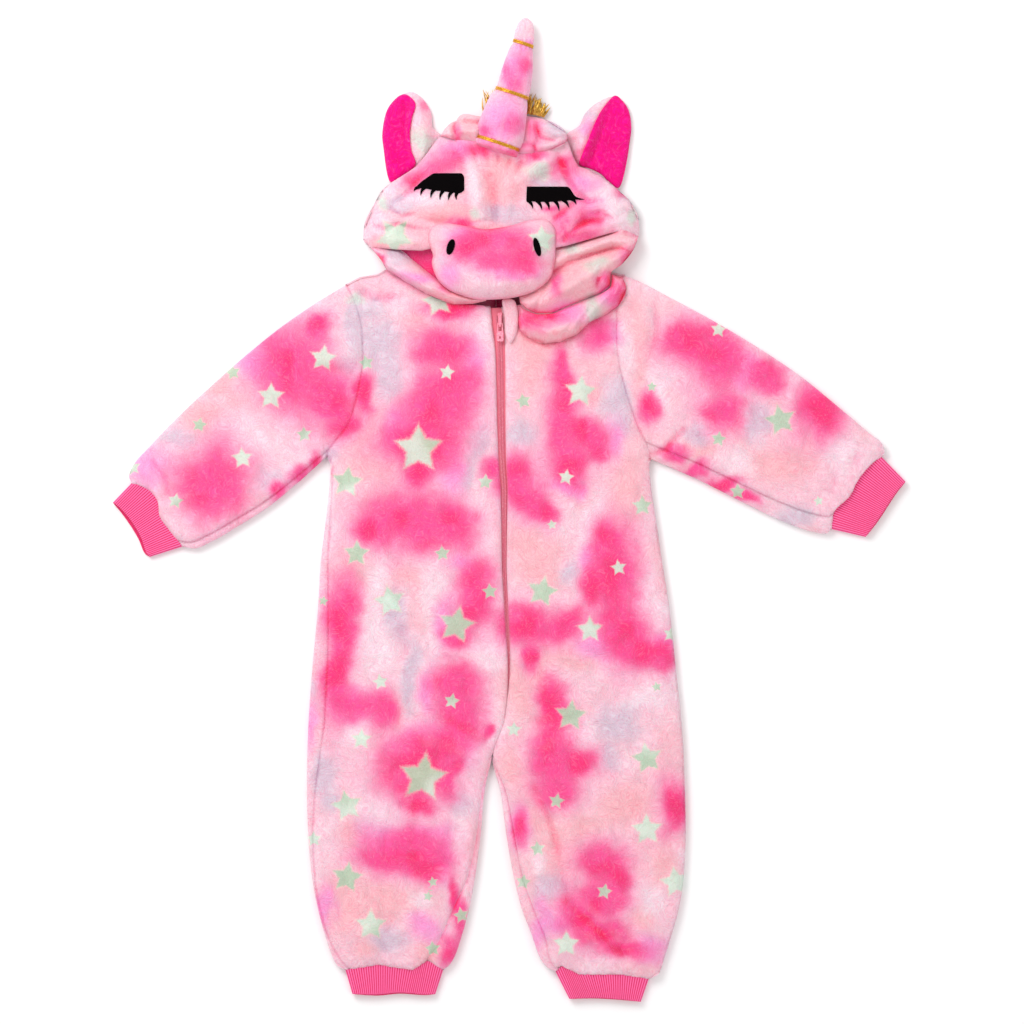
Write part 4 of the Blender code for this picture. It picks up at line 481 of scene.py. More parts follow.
def addMesh(name, points, faces, look, replaced=(), facing=None, dyeAndPaintedLight=None, deep=None):
    # Points in millimetres as one piece. Faces turn outwards: away from the middle, or with facing
    # the sum of their z is up (1) or down (-1). Doubles merge, so poles and seams are closed.
    corner = points[faces]
    normal = np.cross(corner[:, 2] - corner[:, 0], corner[:, 3] - corner[:, 1])
    outward = (normal * corner.mean(1)).sum() if facing is None else normal[:, 2].sum() * facing
    if outward < 0:
        faces = faces[:, ::-1]
    mesh = bpy.data.meshes.new(name)
    mesh.from_pydata(points * mm, [], faces.tolist())
    if dyeAndPaintedLight:
        flat = points[:, :2]
        mark(mesh, "dyeAndPaintedLight", "FLOAT_COLOR", np.column_stack([dyeAndPaintedLightColours(flat, dyeAndPaintedLight, 7), np.ones(len(points))]))
        mark(mesh, "star", "FLOAT_VECTOR", starPlaces(flat, dyeAndPaintedLight.get("stars", [])))
    # deep becomes painted shade in creases and grooves, and a painted highlight on crests, in the plush and
    # lining.
    if deep is not None:
        mark(mesh, "paintedShadeAndHighlight", "FLOAT", deep)
    work = bmesh.new()
    work.from_mesh(mesh)
    bmesh.ops.remove_doubles(work, verts=work.verts, dist=2e-6)
    work.to_mesh(mesh)
    work.free()
    mesh.shade_smooth()
    mesh.materials.append(looks[look])
    piece = bpy.data.objects.new(name, mesh)
    bpy.context.scene.collection.objects.link(piece)
    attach(piece, "garment")
    if replaced:
        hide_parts(*replaced)
    return piece


cut = {"grown": 1.06, "spare": 1.02, "leastSide": 0.0102, "leastFill": 0.31}  # sides in metres


def declareCloth(piece, layers=1):
    # Works out a cut for the piece: its area is the cloth's own, shared by its layers, and its width and
    # length are the piece's two longest extents, both grown alike until the area fits. The cut is not kept.
    mesh = piece.data
    area = sum(face.area for face in mesh.polygons) / layers
    points = np.empty(len(mesh.vertices) * 3)
    mesh.vertices.foreach_get("co", points)
    span = sorted(np.ptp(points.reshape(-1, 3), axis=0))[1:]
    grow = max(cut["grown"], math.sqrt(area / (span[0] * span[1])) * cut["spare"])
    flat = (max(span[0] * grow, cut["leastSide"]), max(span[1] * grow, cut["leastSide"]))
    area = max(area, cut["leastFill"] * flat[0] * flat[1])


# Materials.


class Value:
    # A number socket: arithmetic on it adds Math nodes.
    def __init__(self, tree, socket):
        self.tree, self.socket = tree, socket

    def calc(self, operation, *numbers):
        made = self.tree.node("ShaderNodeMath", {"operation": operation}, dict(enumerate(numbers)))
        return Value(self.tree, made.outputs[0])

    def __add__(self, other):
        return self.calc("ADD", self, other)

    def __radd__(self, other):
        return self.calc("ADD", other, self)

    def __sub__(self, other):
        return self.calc("SUBTRACT", self, other)

    def __rsub__(self, other):
        return self.calc("SUBTRACT", other, self)

    def __mul__(self, other):
        return self.calc("MULTIPLY", self, other)

    def __rmul__(self, other):
        return self.calc("MULTIPLY", other, self)

    def __mod__(self, other):
        return self.calc("FLOORED_MODULO", self, other)

    def __pow__(self, other):
        return self.calc("POWER", self, other)

    def size(self):
        return self.calc("ABSOLUTE", self)

    def step(self, low, high):
        settings = {"interpolation_type": "SMOOTHSTEP"}
        inputs = {"Value": self, "From Min": low, "From Max": high}
        return Value(self.tree, self.tree.node("ShaderNodeMapRange", settings, inputs).outputs["Result"])


class Look:
    # One material's node tree.
    def __init__(self, name, roughness, metallic=0.0, **constants):
        self.material = bpy.data.materials.new(name)
        self.material.use_nodes = True
        self.nodes = self.material.node_tree.nodes
        self.links = self.material.node_tree.links
        self.shader = self.nodes["Principled BSDF"]
        self.put(self.shader, {"Roughness": roughness, "Metallic": metallic, **constants})

    def node(self, kind, settings=None, inputs=None):
        made = self.nodes.new(kind)
        for key, value in (settings or {}).items():
            setattr(made, key, value)
        self.put(made, inputs or {})
        return made

    def put(self, node, inputs):
        for key, value in inputs.items():
            socket = node.inputs[key]
            if isinstance(value, Value):
                value = value.socket
            if isinstance(value, bpy.types.NodeSocket):
                self.links.new(value, socket)
            else:
                socket.default_value = value

    def place(self):
        return self.node("ShaderNodeTexCoord").outputs["Object"]

    def attribute(self, name):
        return self.node("ShaderNodeAttribute", {"attribute_name": name})

    def vector(self, operation, first, second=None, scale=None):
        inputs = {0: first}
        if second is not None:
            inputs[1] = second
        if scale is not None:
            inputs["Scale"] = scale
        return self.node("ShaderNodeVectorMath", {"operation": operation}, inputs).outputs[0]

    def stretched(self, place, sizes, turn=0.0):
        # Object metres counted in cells of the given millimetre sizes, turned about z.
        turned = self.node("ShaderNodeMapping", None, {"Vector": place, "Rotation": (0, 0, turn)}).outputs[0]
        scale = tuple(1000 / size for size in sizes)
        return self.node("ShaderNodeMapping", None, {"Vector": turned, "Scale": scale}).outputs[0]

    def noise(self, place, detail=2.0, roughness=0.5):
        inputs = {"Vector": place, "Scale": 1.0, "Detail": detail, "Roughness": roughness}
        return self.node("ShaderNodeTexNoise", None, inputs)

    def grain(self, sizes, turn=0.0, detail=2.0, roughness=0.5, place=None):
        # The noise's own value, in cells of these sizes.
        cells = self.stretched(self.place() if place is None else place, sizes, turn)
        return Value(self, self.noise(cells, detail, roughness).outputs[0])

    def parts(self, vector):
        # The three numbers of a vector.
        outputs = self.node("ShaderNodeSeparateXYZ", None, {0: vector}).outputs
        return [Value(self, outputs[k]) for k in range(3)]

    def mix(self, share, first, second, blend="MIX"):
        made = self.node("ShaderNodeMix", {"data_type": "RGBA", "blend_type": blend, "clamp_factor": True})
        for index, value in ((0, share), (6, first), (7, second)):
            if index and not isinstance(value, (Value, bpy.types.NodeSocket)):
                value = (*value, 1)
            self.put(made, {index: value})
        return made.outputs[2]

    def finish(self, colour, height=None, depth=0.0, strength=1.0):
        self.put(self.shader, {"Base Color": colour})
        if height is not None:
            inputs = {"Height": height, "Distance": depth * mm, "Strength": strength}
            self.put(self.shader, {"Normal": self.node("ShaderNodeBump", None, inputs).outputs[0]})
        return self.material


def wandering(look, amount=2.4, cell=24.0):
    # Object place pushed aside by slow noise, so that the pile's streaks curve.
    place = look.place()
    push = look.noise(look.stretched(place, (cell,) * 3), 1.0).outputs[1]
    push = look.vector("SUBTRACT", push, (0.5, 0.5, 0.5))
    return look.vector("ADD", place, look.vector("SCALE", push, scale=amount * cell * mm))


def pileGrain(look):
    # Lying pile in two leanings, tufts, fine fibre, and curled fibres where a noise crosses its middle.
    place = wandering(look)
    streaks = look.grain((1.3, 4.6, 2.2), math.radians(24), 2.0, 0.55, place)
    others = look.grain((1.5, 3.6, 2.2), math.radians(-38), 2.0, 0.55, place)
    tufts = look.grain((6, 6, 6), 0.0, 2.0, 0.5, place)
    fibre = look.grain((0.5, 1.4, 0.7), math.radians(10), 1.0, 0.6, place)
    curls = look.grain((4.2, 7.5, 4.5), math.radians(-12), 1.0, 0.5, place)
    curls = 1 - ((curls - 0.5).size() * 15).step(0.0, 1.0)
    share = tufts.step(0.42, 0.6)
    pile = streaks * share + others * (1 - share)
    return pile, tufts, fibre, curls


def starShare(look):
    # Folds the angle to one fifth, and measures to the straight side from a tip to an inner corner.
    # Gives the star, and a slightly larger one for its rim.
    inner = 0.52
    tip = math.pi / 5
    across, up, near = look.parts(look.attribute("star").outputs["Vector"])
    angle = across.calc("ARCTAN2", across, up)
    folded = ((angle + tip) % (2 * tip) - tip).size()
    radius = (across * across + up * up) ** 0.5
    east, north = radius * folded.calc("COSINE", folded), radius * folded.calc("SINE", folded)
    run = (inner * math.cos(tip) - 1, inner * math.sin(tip))
    size = math.hypot(*run)
    gap = (east - 1) * (run[1] / size) - north * (run[0] / size)
    ragged = look.grain((1.3, 2.6, 2.0)) - 0.5
    gap = gap + ragged * 0.2
    near = near.step(0.5, 0.6)
    return (1 - gap.step(-0.09, 0.05)) * near, (1 - gap.step(-0.02, 0.13)) * near


def plushLook():
    # The dye with its stars, redder between the strands and paler on curls, with painted shade that makes
    # creases redder and a painted highlight that makes crests paler.
    look = Look("onesiePlush", 0.88, **{
        "Sheen Weight": 0.35, "Sheen Roughness": 0.45, "Sheen Tint": (1.0, 0.86, 0.92, 1.0),
        "Specular IOR Level": 0.15, "Subsurface Weight": 0.3, "Subsurface Radius": (1.0, 0.4, 0.5),
        "Subsurface Scale": 0.008,
    })

    def times(first, second):
        return look.mix(1.0, first, second, "MULTIPLY")

    pile, tufts, fibre, curls = pileGrain(look)
    dyedAndShaded = look.attribute("dyeAndPaintedLight").outputs["Color"]
    star, rim = starShare(look)
    tint = look.grain((60, 60, 60), 0.0, 0.0).step(0.42, 0.58)
    mint = look.mix(tint, linear(184, 214, 186), linear(218, 238, 222))
    dark = (1 - pile.step(0.36, 0.6)) * 0.42 + (1 - fibre.step(0.3, 0.7)) * 0.22
    dark = (dark + (1 - tufts.step(0.34, 0.6)) * 0.16) * 0.8
    paintedShadeAndHighlight = Value(look, look.attribute("paintedShadeAndHighlight").outputs["Fac"])
    colour = look.mix(rim * 0.45, dyedAndShaded, linear(250, 232, 214))
    colour = look.mix(dark, colour, times(colour, (0.93, 0.5, 0.64)))
    mint = look.mix(0.1, look.mix(dark, mint, times(mint, (0.84, 0.82, 0.78))), dyedAndShaded)
    colour = look.mix(star * 0.95, colour, mint)
    # Painted shade: in creases and seams the colour is multiplied by itself, redder and darker.
    redder = times(times(colour, colour), (1.0, 0.9, 1.0))
    colour = look.mix(paintedShadeAndHighlight.step(0.0, 2.8) * 0.85, colour, redder)
    # Painted highlight: crests turn paler.
    colour = look.mix((paintedShadeAndHighlight * -1).step(0.3, 2.6) * 0.16, colour, (1.0, 0.84, 0.89))
    colour = look.mix(curls * 0.09 * pile.step(0.34, 0.52), colour, (1.0, 0.84, 0.91))
    height = pile * 0.6 + fibre * 0.2 + tufts * 0.5 + curls * 0.16
    return look.finish(colour, height, 1.9, 0.75)


def liningLook():
    # Magenta pile, brighter on its tufts and curls, with painted shade deeper in its creases.
    sheen = {"Sheen Weight": 0.25, "Sheen Roughness": 0.4, "Specular IOR Level": 0.15}
    look = Look("earMagentaPlush", 0.85, **sheen)
    pile, tufts, fibre, curls = pileGrain(look)
    colour = look.mix(pile.step(0.35, 0.7), linear(238, 0, 116), linear(255, 10, 150))
    colour = look.mix(tufts.step(0.5, 0.75) * 0.3, colour, linear(255, 60, 160))
    colour = look.mix(curls * 0.3 * tufts.step(0.4, 0.7), colour, linear(255, 110, 190))
    paintedShadeAndHighlight = Value(look, look.attribute("paintedShadeAndHighlight").outputs["Fac"])
    # Painted shade: a deeper magenta in the creases.
    colour = look.mix(paintedShadeAndHighlight.step(0.3, 2.2) * 0.4, colour, linear(206, 0, 92))
    return look.finish(colour, pile * 0.6 + fibre * 0.3 + curls * 0.3, 1.4, 0.7)


def ribLook():
    # Ribs with a painted highlight on their crests and painted shade in their grooves and inside the cuff,
    # with slanting stitches across them, from each point's place along and across the rib.
    look = Look("ribKnit", 0.8, **{"Sheen Weight": 0.15, "Specular IOR Level": 0.2})
    across, down, deep = look.parts(look.attribute("rib").outputs["Vector"])
    slant = down * (math.pi / 0.55) + across * 2.0
    stitch = slant.calc("SINE", slant)
    fleck = look.grain((0.8, 0.8, 0.8))
    # deep is painted light: the pale pink is a highlight on the ribs' crests, the dark pink shade in their
    # grooves and inside the cuff.
    colour = look.mix(deep.step(0.15, 0.85), linear(222, 26, 92), linear(255, 116, 176))
    colour = look.mix(fleck.step(0.35, 0.75) * 0.25, colour, linear(255, 120, 178))
    return look.finish(colour, deep * 0.5 + stitch * 0.12 * deep + fleck * 0.1, 0.5, 0.6)


def feltLook():
    # Matted fibres that curve, a little paler where they stand up.
    look = Look("blackFelt", 0.95, **{"Specular IOR Level": 0.06})
    fibre = look.grain((0.35, 1.6, 0.6), 0.0, 3.0, 0.5, wandering(look, 0.4, 6.0))
    colour = look.mix(fibre.step(0.5, 0.8), linear(4, 2, 3), linear(16, 10, 12))
    return look.finish(colour, fibre, 0.25, 0.5)


def tapeLook():
    # Diagonal twill of 1.2 mm over a fine grain.
    look = Look("zipTape", 0.7, **{"Specular IOR Level": 0.3})
    place = look.place()
    across, down, _ = look.parts(place)
    slant = across * 5200 + down * 5200
    twill = slant.calc("SINE", slant)
    grain = look.grain((0.5, 0.5, 0.5), 0.0, 1.0, 0.5, place)
    colour = look.mix(twill * 0.25 + grain * 0.5, linear(236, 108, 132), linear(250, 164, 178))
    return look.finish(colour, twill * 0.5 + grain * 0.4, 0.12, 0.5)


flecked = {
    "goldCord": {"roughness": 0.32, "metallic": 0.85, "cells": (0.7, 0.7, 0.7), "detail": 2.0,
                 "from": (0.35, 0.7), "dark": (196, 128, 22), "light": (255, 204, 84), "bump": (0.1, 0.4)},
    "goldTinsel": {"roughness": 0.3, "metallic": 0.8, "cells": (1.1, 3.0, 1.4), "detail": 2.0,
                   "from": (0.35, 0.7), "dark": (168, 116, 34), "light": (236, 190, 92), "bump": (0.15, 0.4)},
    "zipEnamel": {"roughness": 0.38, "metallic": 0.0, "cells": (1.6, 1.6, 1.6), "detail": 3.0,
                  "from": (0.45, 0.75), "dark": (246, 138, 164), "light": (255, 186, 200),
                  "bump": (0.05, 0.3), "coat": {"Coat Weight": 0.35, "Coat Roughness": 0.2}},
}


def fleckedLook(name):
    # Flecks of a noise between two colours, which are its bump as well.
    sizes = flecked[name]
    look = Look(name, sizes["roughness"], sizes["metallic"], **sizes.get("coat", {}))
    fleck = look.grain(sizes["cells"], 0.0, sizes["detail"])
    colour = look.mix(fleck.step(*sizes["from"]), linear(*sizes["dark"]), linear(*sizes["light"]))
    return look.finish(colour, fleck, *sizes["bump"])


looks = {
    "plush": plushLook(), "lining": liningLook(), "rib": ribLook(), "felt": feltLook(), "tape": tapeLook(),
    "cord": fleckedLook("goldCord"), "tinsel": fleckedLook("goldTinsel"), "enamel": fleckedLook("zipEnamel"),
}
print("materials made:", len(looks))

# Body and legs.
# Rows of the body from shoulder to ankle. side: x of the armhole, then of the side. seam: how far in
# from the side the seam lies. middle: x of the centre front, then of the inner leg. fold: how far in
# from there the front ends.
rightHalf = np.array([
    # y, side, seam, middle, fold
    (237, -171, 0, -13.5, 6.3), (213.5, -161.5, 0, -12, 6.3), (184.5, -154.5, 0, -10, 6),
    (159, -153.5, 0, -9, 5.7), (132, -157.5, 0, -8.5, 5.4), (93, -168, 0, -8, 5),
    (57, -191, 1, -7, 4.6), (46.5, -187.5, 2, -6.5, 4.4), (19.5, -189, 3.2, -5, 4.1),
    (-15, -193, 5.2, -5, 3.6), (-52, -197.5, 7.4, -5, 3.1), (-99, -200.5, 10.5, -3, 2.6),
    (-164.5, -206.5, 15.8, 0, 1.8), (-216, -210.3, 16.8, -4, 0.3), (-259, -212, 13.1, -17.5, 1.2),
    (-297.5, -212.3, 8.4, -25.8, 2.1), (-336.5, -211.2, 5.2, -29.3, 3.2), (-385, -207, 3.2, -35.5, 6.8),
    (-418.5, -200.8, 2.1, -41.8, 15.8), (-449, -192.4, 3.2, -50.2, 20.5), (-472, -184.2, 7.5, -58.6, 23.1),
    (-478.5, -180, 8.5, -63.5, 20), (-482.5, -172, 5, -69, 16.8),
])
leftHalf = np.array([
    (247, 121, 0, -13.5, 6.3), (221, 114.5, 0, -12.4, 6.3), (184.5, 113, 0, -10, 6),
    (159, 115, 0, -9, 5.7), (132, 121, 0, -8.5, 5.4), (93, 133.5, 0, -8, 5),
    (54, 148.5, 0, -7, 4.6), (46.5, 146.8, 0, -6.5, 4.4), (19.5, 149.4, 0, -5, 4.1),
    (-15, 154.8, 0, -5, 3.6), (-52, 160, 0, -5, 3.1), (-99, 167.4, 0, -3, 2.6),
    (-164.5, 174.5, 0, 0, 1.8), (-216, 180, 0, -4, 0.3), (-259, 183, 0, -17.5, 1.2),
    (-297.5, 184.3, 0, -8.6, 5.2), (-336.5, 185, 0, -3.4, 7.4), (-385, 182.9, 0, 5, 8.4),
    (-418.5, 177.8, 0, 13.4, 11.6), (-449, 169.3, 0, 24.9, 12.6), (-474, 161.3, 0, 32.3, 9.5),
    (-487, 156.5, 0, 40, 8), (-492, 147, 0, 48.5, 4.2),
])
columns = {"side": 1, "seam": 2, "middle": 3, "fold": 4}
armpitRow, crotchRow = 60, 175  # where the rows of bodyRows reach those heights
bodySizes = {
    "loft": 12.0, "edgeReach": 26.0, "underReach": 7.0, "blouseReach": 14.0, "heightAtCuff": 7.4,
    "crotch": -259.0, "armpit": {"right": 57.0, "left": 54.0}, "seamInset": 2.4,
    "gathers": 0.9, "gatherReach": 11.0,  # of the gathers at the cuffs, along the cloth
    "seamReach": 3.4, "upperDraw": 0.9, "underDraw": 0.4,  # how wide and deep a seam draws the cloth in
    "zipDrop": 3.4, "zipReach": 7.0, "zipEnd": (-330, -200), "legDraw": 1.8,
}
neckLines = {
    ("right", "front"): [(-171, 237), (-156.5, 244.5), (-137.5, 247.5), (-129, 253), (-114.5, 245),
                         (-83, 228.5), (-51.5, 218), (-13.5, 212.5)],
    ("right", "back"): [(-171, 237), (-156.5, 244.5), (-137.5, 247.5), (-129, 253), (-109, 259),
                        (-83, 260), (-13.5, 260)],
    ("left", "front"): [(-13.5, 212.5), (32.5, 218), (64, 228.5), (95.5, 244), (107, 249.5), (121, 247)],
    ("left", "back"): [(-13.5, 260), (53.5, 260), (85, 259), (107, 249.5), (121, 247)],
}
shoulders = {
    "right": [(-171, 237), (-156.5, 244.5), (-137.5, 247.5), (-129, 253)],
    "left": [(121, 247), (107, 249.5)],
}
ankleSeams = {
    "right": [(-172, -482.5), (-151, -479), (-136.5, -476.5), (-124, -479), (-101, -482),
              (-85, -472.5), (-69, -482.5)],
    "left": [(48.5, -484), (55.5, -478.5), (74.5, -487), (116.5, -487), (147, -492)],
}
sleeveTops = {
    "right": [(-171, 237), (-202.5, 218), (-241.5, 191), (-278.8, 160.7), (-314, 129.5), (-347, 98.7),
              (-377, 67.5), (-395, 46.5), (-399, 36), (-396.5, 29)],
    "left": [(121, 247), (137, 240.5), (160.5, 228.2), (213, 200), (257, 174), (307.5, 140),
             (347.5, 107.5), (378, 81.5), (392.5, 69), (394.5, 61.5), (391.5, 56.5)],
}
sleeveUnders = {
    "right": [(-191, 57), (-223.5, 27.5), (-255, 2), (-282, -15), (-313, -33), (-331, -40), (-342.5, -38)],
    "left": [(148.5, 54), (197, 33), (247, 7.8), (287.5, -11.5), (317, -22), (332, -24.5), (338.5, -20)],
}
wristSeams = {
    "right": [(-396.5, 29), (-383, 24.5), (-368.5, 8), (-367.5, -2.5), (-356.5, -20.5), (-342.5, -38)],
    "left": [(391.5, 56.5), (384, 51.5), (366.5, 31.5), (358, 15.5), (341, -3.5), (338.5, -20)],
}
underarmSeams = {"right": 8.0, "left": 18.0}


# Each fold: its width and height, and the points of its line.
bodyFolds = [
    # the shoulders and armholes
    (8, -3.4, (-160, 232), (-143, 224), (-116, 222)),
    (9, 2.6, (-166, 222), (-140, 212), (-112, 212)),
    (9, 2.6, (-200, 60), (-216, 46), (-244, 19)),
    (10, 2.4, (-176, 96), (-196, 92), (-222, 108)),
    (9, -1.8, (-150, 160), (-168, 150), (-196, 150)),
    (8, 2.6, (138, 228), (141, 206), (139, 176)),
    (7, -2.0, (152, 214), (156, 190), (150, 166)),
    (10, 2.2, (150, 60), (176, 64), (212, 50)),
    (5, -3.2, (148, 58), (164, 64), (182, 84)),
    # the wrists
    (6, 2.4, (-384, 47), (-372, 36), (-366, 22)),
    (5, -1.8, (-375, 50), (-362, 34), (-356, 12)),
    (7, 2.2, (-363, 4), (-345, 14), (-322, 20)),
    (7, -2.2, (370, 62), (364, 46)),
    (6, 1.8, (358, 66), (350, 50), (354, 34)),
    (8, -2.2, (342, 42), (338, 16)),
    (12, 2.0, (330, 60), (300, 66), (268, 76)),
    # the body's sides
    (14, 1.8, (-196, 20), (-170, -10), (-150, -60)),
    (13, 1.8, (140, 40), (122, 10), (112, -40)),
    (12, -1.2, (-120, 40), (-126, -30), (-118, -90)),
    (15, 1.2, (84, -60), (92, -130), (80, -190)),
    (10, -1.5, (-118, -60), (-112, -130), (-106, -190), (-112, -240)),
    (10, 1.5, (-84, -60), (-90, -130), (-78, -190), (-86, -240)),
    (12, 1.6, (-150, -90), (-156, -170), (-150, -250), (-160, -320)),
    (9, -1.4, (36, -130), (34, -180), (30, -230)),
    # the legs
    (6, -2, (26, -290), (44, -326), (54, -372), (60, -408)),
    (9, 1.8, (40, -300), (62, -340), (72, -380)),
    (6, -2, (60, -412), (84, -432), (108, -458), (122, -470)),
    (8, 1.6, (76, -408), (98, -430), (116, -446)),
    (7, -1.6, (-122, -430), (-132, -452), (-128, -470)),
    (8, 1.5, (-142, -420), (-150, -446), (-146, -468)),
    (12, 1.4, (-170, -300), (-166, -360), (-150, -410)),
    (8, -1.3, (-100, -300), (-104, -340), (-98, -380)),
    (9, 1.4, (150, -300), (154, -360), (146, -410)),
    # the crotch and the ankles
    (11, 2.0, (-30, -262), (-60, -250), (-96, -236)),
    (11, 2.0, (-8, -264), (24, -250), (60, -244)),
    (9, -1.6, (-20, -246), (-48, -226), (-90, -214)),
    (9, -1.4, (0, -240), (30, -222), (70, -214)),
    (9, 2.2, (-178, -452), (-160, -440), (-130, -446)),
    (10, 2.2, (54, -462), (84, -450), (120, -458)),
    (8, -1.5, (-120, -462), (-100, -440), (-96, -412)),
    (8, -1.5, (110, -470), (126, -448), (128, -418)),
]


bodyHalves = {"right": rightHalf, "left": leftHalf}


def bodyRows(side):
    # The rows' heights from shoulder to ankle, closer together at the ankle, the table's values there,
    # and the way in from the side.
    table, armpit, crotch = bodyHalves[side], bodySizes["armpit"][side], bodySizes["crotch"]
    chest = np.linspace(table[0, 0], armpit, armpitRow + 1)
    waist = np.linspace(armpit, crotch, crotchRow - armpitRow + 1)
    leg = crotch + (table[-1, 0] - crotch) * (1 - (1 - np.linspace(0, 1, 96)) ** 1.5)
    levels = np.concatenate([chest, waist[1:], leg[1:]])
    row = {name: smoothThrough(-table[:, 0], table[:, k], -levels) for name, k in columns.items()}
    return levels, row, 1 if side == "right" else -1


def leveled(side, part, levels, xs):
    # Level rows, bent to the neck's edge over the top 70 mm and to the ankle's seam over the last 40.
    neck, ankle = np.array(neckLines[side, part], float), np.array(ankleSeams[side], float)
    above = np.clip((levels - levels[0] + 70) / 70, 0, 1)[:, None]
    below = np.clip((levels[-1] + 40 - levels) / 40, 0, 1)[:, None]
    ys = levels[:, None] + above * (np.interp(xs, neck[:, 0], neck[:, 1]) - levels[0])
    ys += below * (np.interp(xs, ankle[:, 0], ankle[:, 1]) - levels[-1])
    return np.stack([xs, ys], 2)


def armhole(side):
    # The body's side edge from the shoulder down to the armpit.
    levels, row, _ = bodyRows(side)
    return leveled(side, "front", levels, row["side"][:, None])[: armpitRow + 1, 0]


def garmentOutline():
    # The free edges of the body and sleeves as fine lines: the loft rises from them.
    fine = np.linspace(0, 1, 40)
    lines = []
    for side in ("right", "left"):
        table = bodyHalves[side]
        for name, start in (("side", bodySizes["armpit"][side]), ("middle", bodySizes["crotch"])):
            rows = table[table[:, 0] <= start]
            lines.append(along(rows[:, [columns[name], 0]], fine))
        lines += [along(sleeveTops[side], fine), along(sleeveUnders[side], fine), np.array(shoulders[side])]
    return lines


outline = garmentOutline()


def clothHeight(plan, layer, toCuff, seams):
    # A flattened tube: half the loft, plus or minus the other half times an elliptic rise from the
    # edges. Folds, rumples and gathers lie on the upper side, and seams draw both sides in.
    sizes, upper = bodySizes, np.greater(layer, 0)
    full = rounded(gapTo(plan, outline)[0], np.where(upper, sizes["edgeReach"], sizes["underReach"]))
    blouse = rounded(toCuff, sizes["blouseReach"])
    half = sizes["loft"] / 2
    atCuff = sizes["heightAtCuff"] / half - 1
    rise = np.where(upper, atCuff + (1 - atCuff) * blouse, 1)
    height = half + layer * (0.15 + (half - 0.15) * full * rise)
    rumple = 0.9 * softNoise(plan, 58, 21) + 0.5 * softNoise(plan, 24, 22) + 0.22 * softNoise(plan, 9, 23)
    across = (plan[..., 0] + 0.6 * plan[..., 1]) * 0.62 + 3 * softNoise(plan, 16, 24)
    gathers = sizes["gathers"] * np.exp(-toCuff / sizes["gatherReach"]) * np.sin(across)
    soft = foldHeight(plan, bodyFolds) + rumple
    height += np.where(upper, soft * full * blouse + gathers * full, 0)
    draw = np.exp(-((gapTo(plan, seams)[0] / sizes["seamReach"]) ** 2))
    height -= layer * draw * np.where(upper, sizes["upperDraw"], sizes["underDraw"])
    return height, soft, draw


def sewnDepth(relief, draw):
    # How much painted shade each point gets: in the creases of the folds and the grooves along sewn edges,
    # and below 0 a painted highlight on the folds' crests.
    deep = hollows(relief, False, meanOver) * 0.45 + 1.7 * draw**5
    return np.pad(deep, 1, mode="edge")


def frontPanel(side):
    # Rows across from the side (or its seam) to the zip, and the edge at the zip rounds down.
    sizes = bodySizes
    levels, row, inward = bodyRows(side)
    below = levels <= sizes["armpit"][side]
    wrapped = side == "right"
    start = np.where(below & wrapped, np.maximum(row["seam"], sizes["seamInset"]), 0)
    width = (row["middle"] - row["side"]) * inward - start - row["fold"]
    share = packed(88, 0.75)
    xs = (row["side"] + inward * start)[:, None] + inward * width[:, None] * share
    plan = leveled(side, "front", levels, xs)
    seams = [armhole(side)] + ([plan[armpitRow:, 0]] if wrapped else [])
    height, relief, draw = clothHeight(plan, 1, (levels - levels[-1])[:, None], seams)
    low, high = sizes["zipEnd"]
    atZip = np.clip((levels - low) / (high - low), 0, 1)[:, None]
    toZip = width[:, None] * (1 - share)
    height -= atZip * sizes["zipDrop"] * (1 - rounded(toZip, sizes["zipReach"]))
    legSeam = np.exp(-((toZip / sizes["seamReach"]) ** 2)) * (levels < sizes["crotch"] + 30)[:, None]
    height -= legSeam * (1 - atZip) * sizes["legDraw"]
    grid = turnedIn(np.dstack([plan, height]), 1, joined=np.maximum(draw, legSeam * (1 - atZip)))
    # Painted shade on the front where the hood's rolls lie on it.
    edges = [rolls[name]["outer"] for name in ("hood_hem_right", "hood_collar_left")]
    deep = sewnDepth(relief, draw) + 2.4 * np.exp(-((gapTo(grid[..., :2], edges)[0] / 5) ** 2))
    piece = addPiece(f"frontCloth_{side}", grid, "plush", [f"front_{side}"], facing=1, dyeAndPaintedLight=bodyDyeAndCreaseShade, deep=deep)
    declareCloth(piece)
    return plan[-1]


def upperFacing(grid):
    # 1 if the tube's own column order already faces out where it lies on top, and -1 if not.
    a, b, c = grid[20, 20], grid[20, 30], grid[30, 20]
    top = np.cross(b - a, c - a)[2]
    normal = np.cross(grid[1:, 1:] - grid[:-1, :-1], grid[1:, :-1] - grid[:-1, 1:])[..., 2].sum()
    return 1 if top * normal > 0 else -1


def sewTube(name, node, plan, layer, toCuff, seams, dyeAndPaintedLight, facing=None):
    # A panel that goes round from the upper side to the under side.
    height, relief, draw = clothHeight(plan, layer, toCuff[:, None], seams)
    grid = turnedIn(np.dstack([plan, height]), layer, joined=draw)
    facing = facing or upperFacing(grid)
    piece = addPiece(name, grid, "plush", [node], facing=facing, dyeAndPaintedLight=dyeAndPaintedLight, deep=sewnDepth(relief, draw))
    declareCloth(piece)


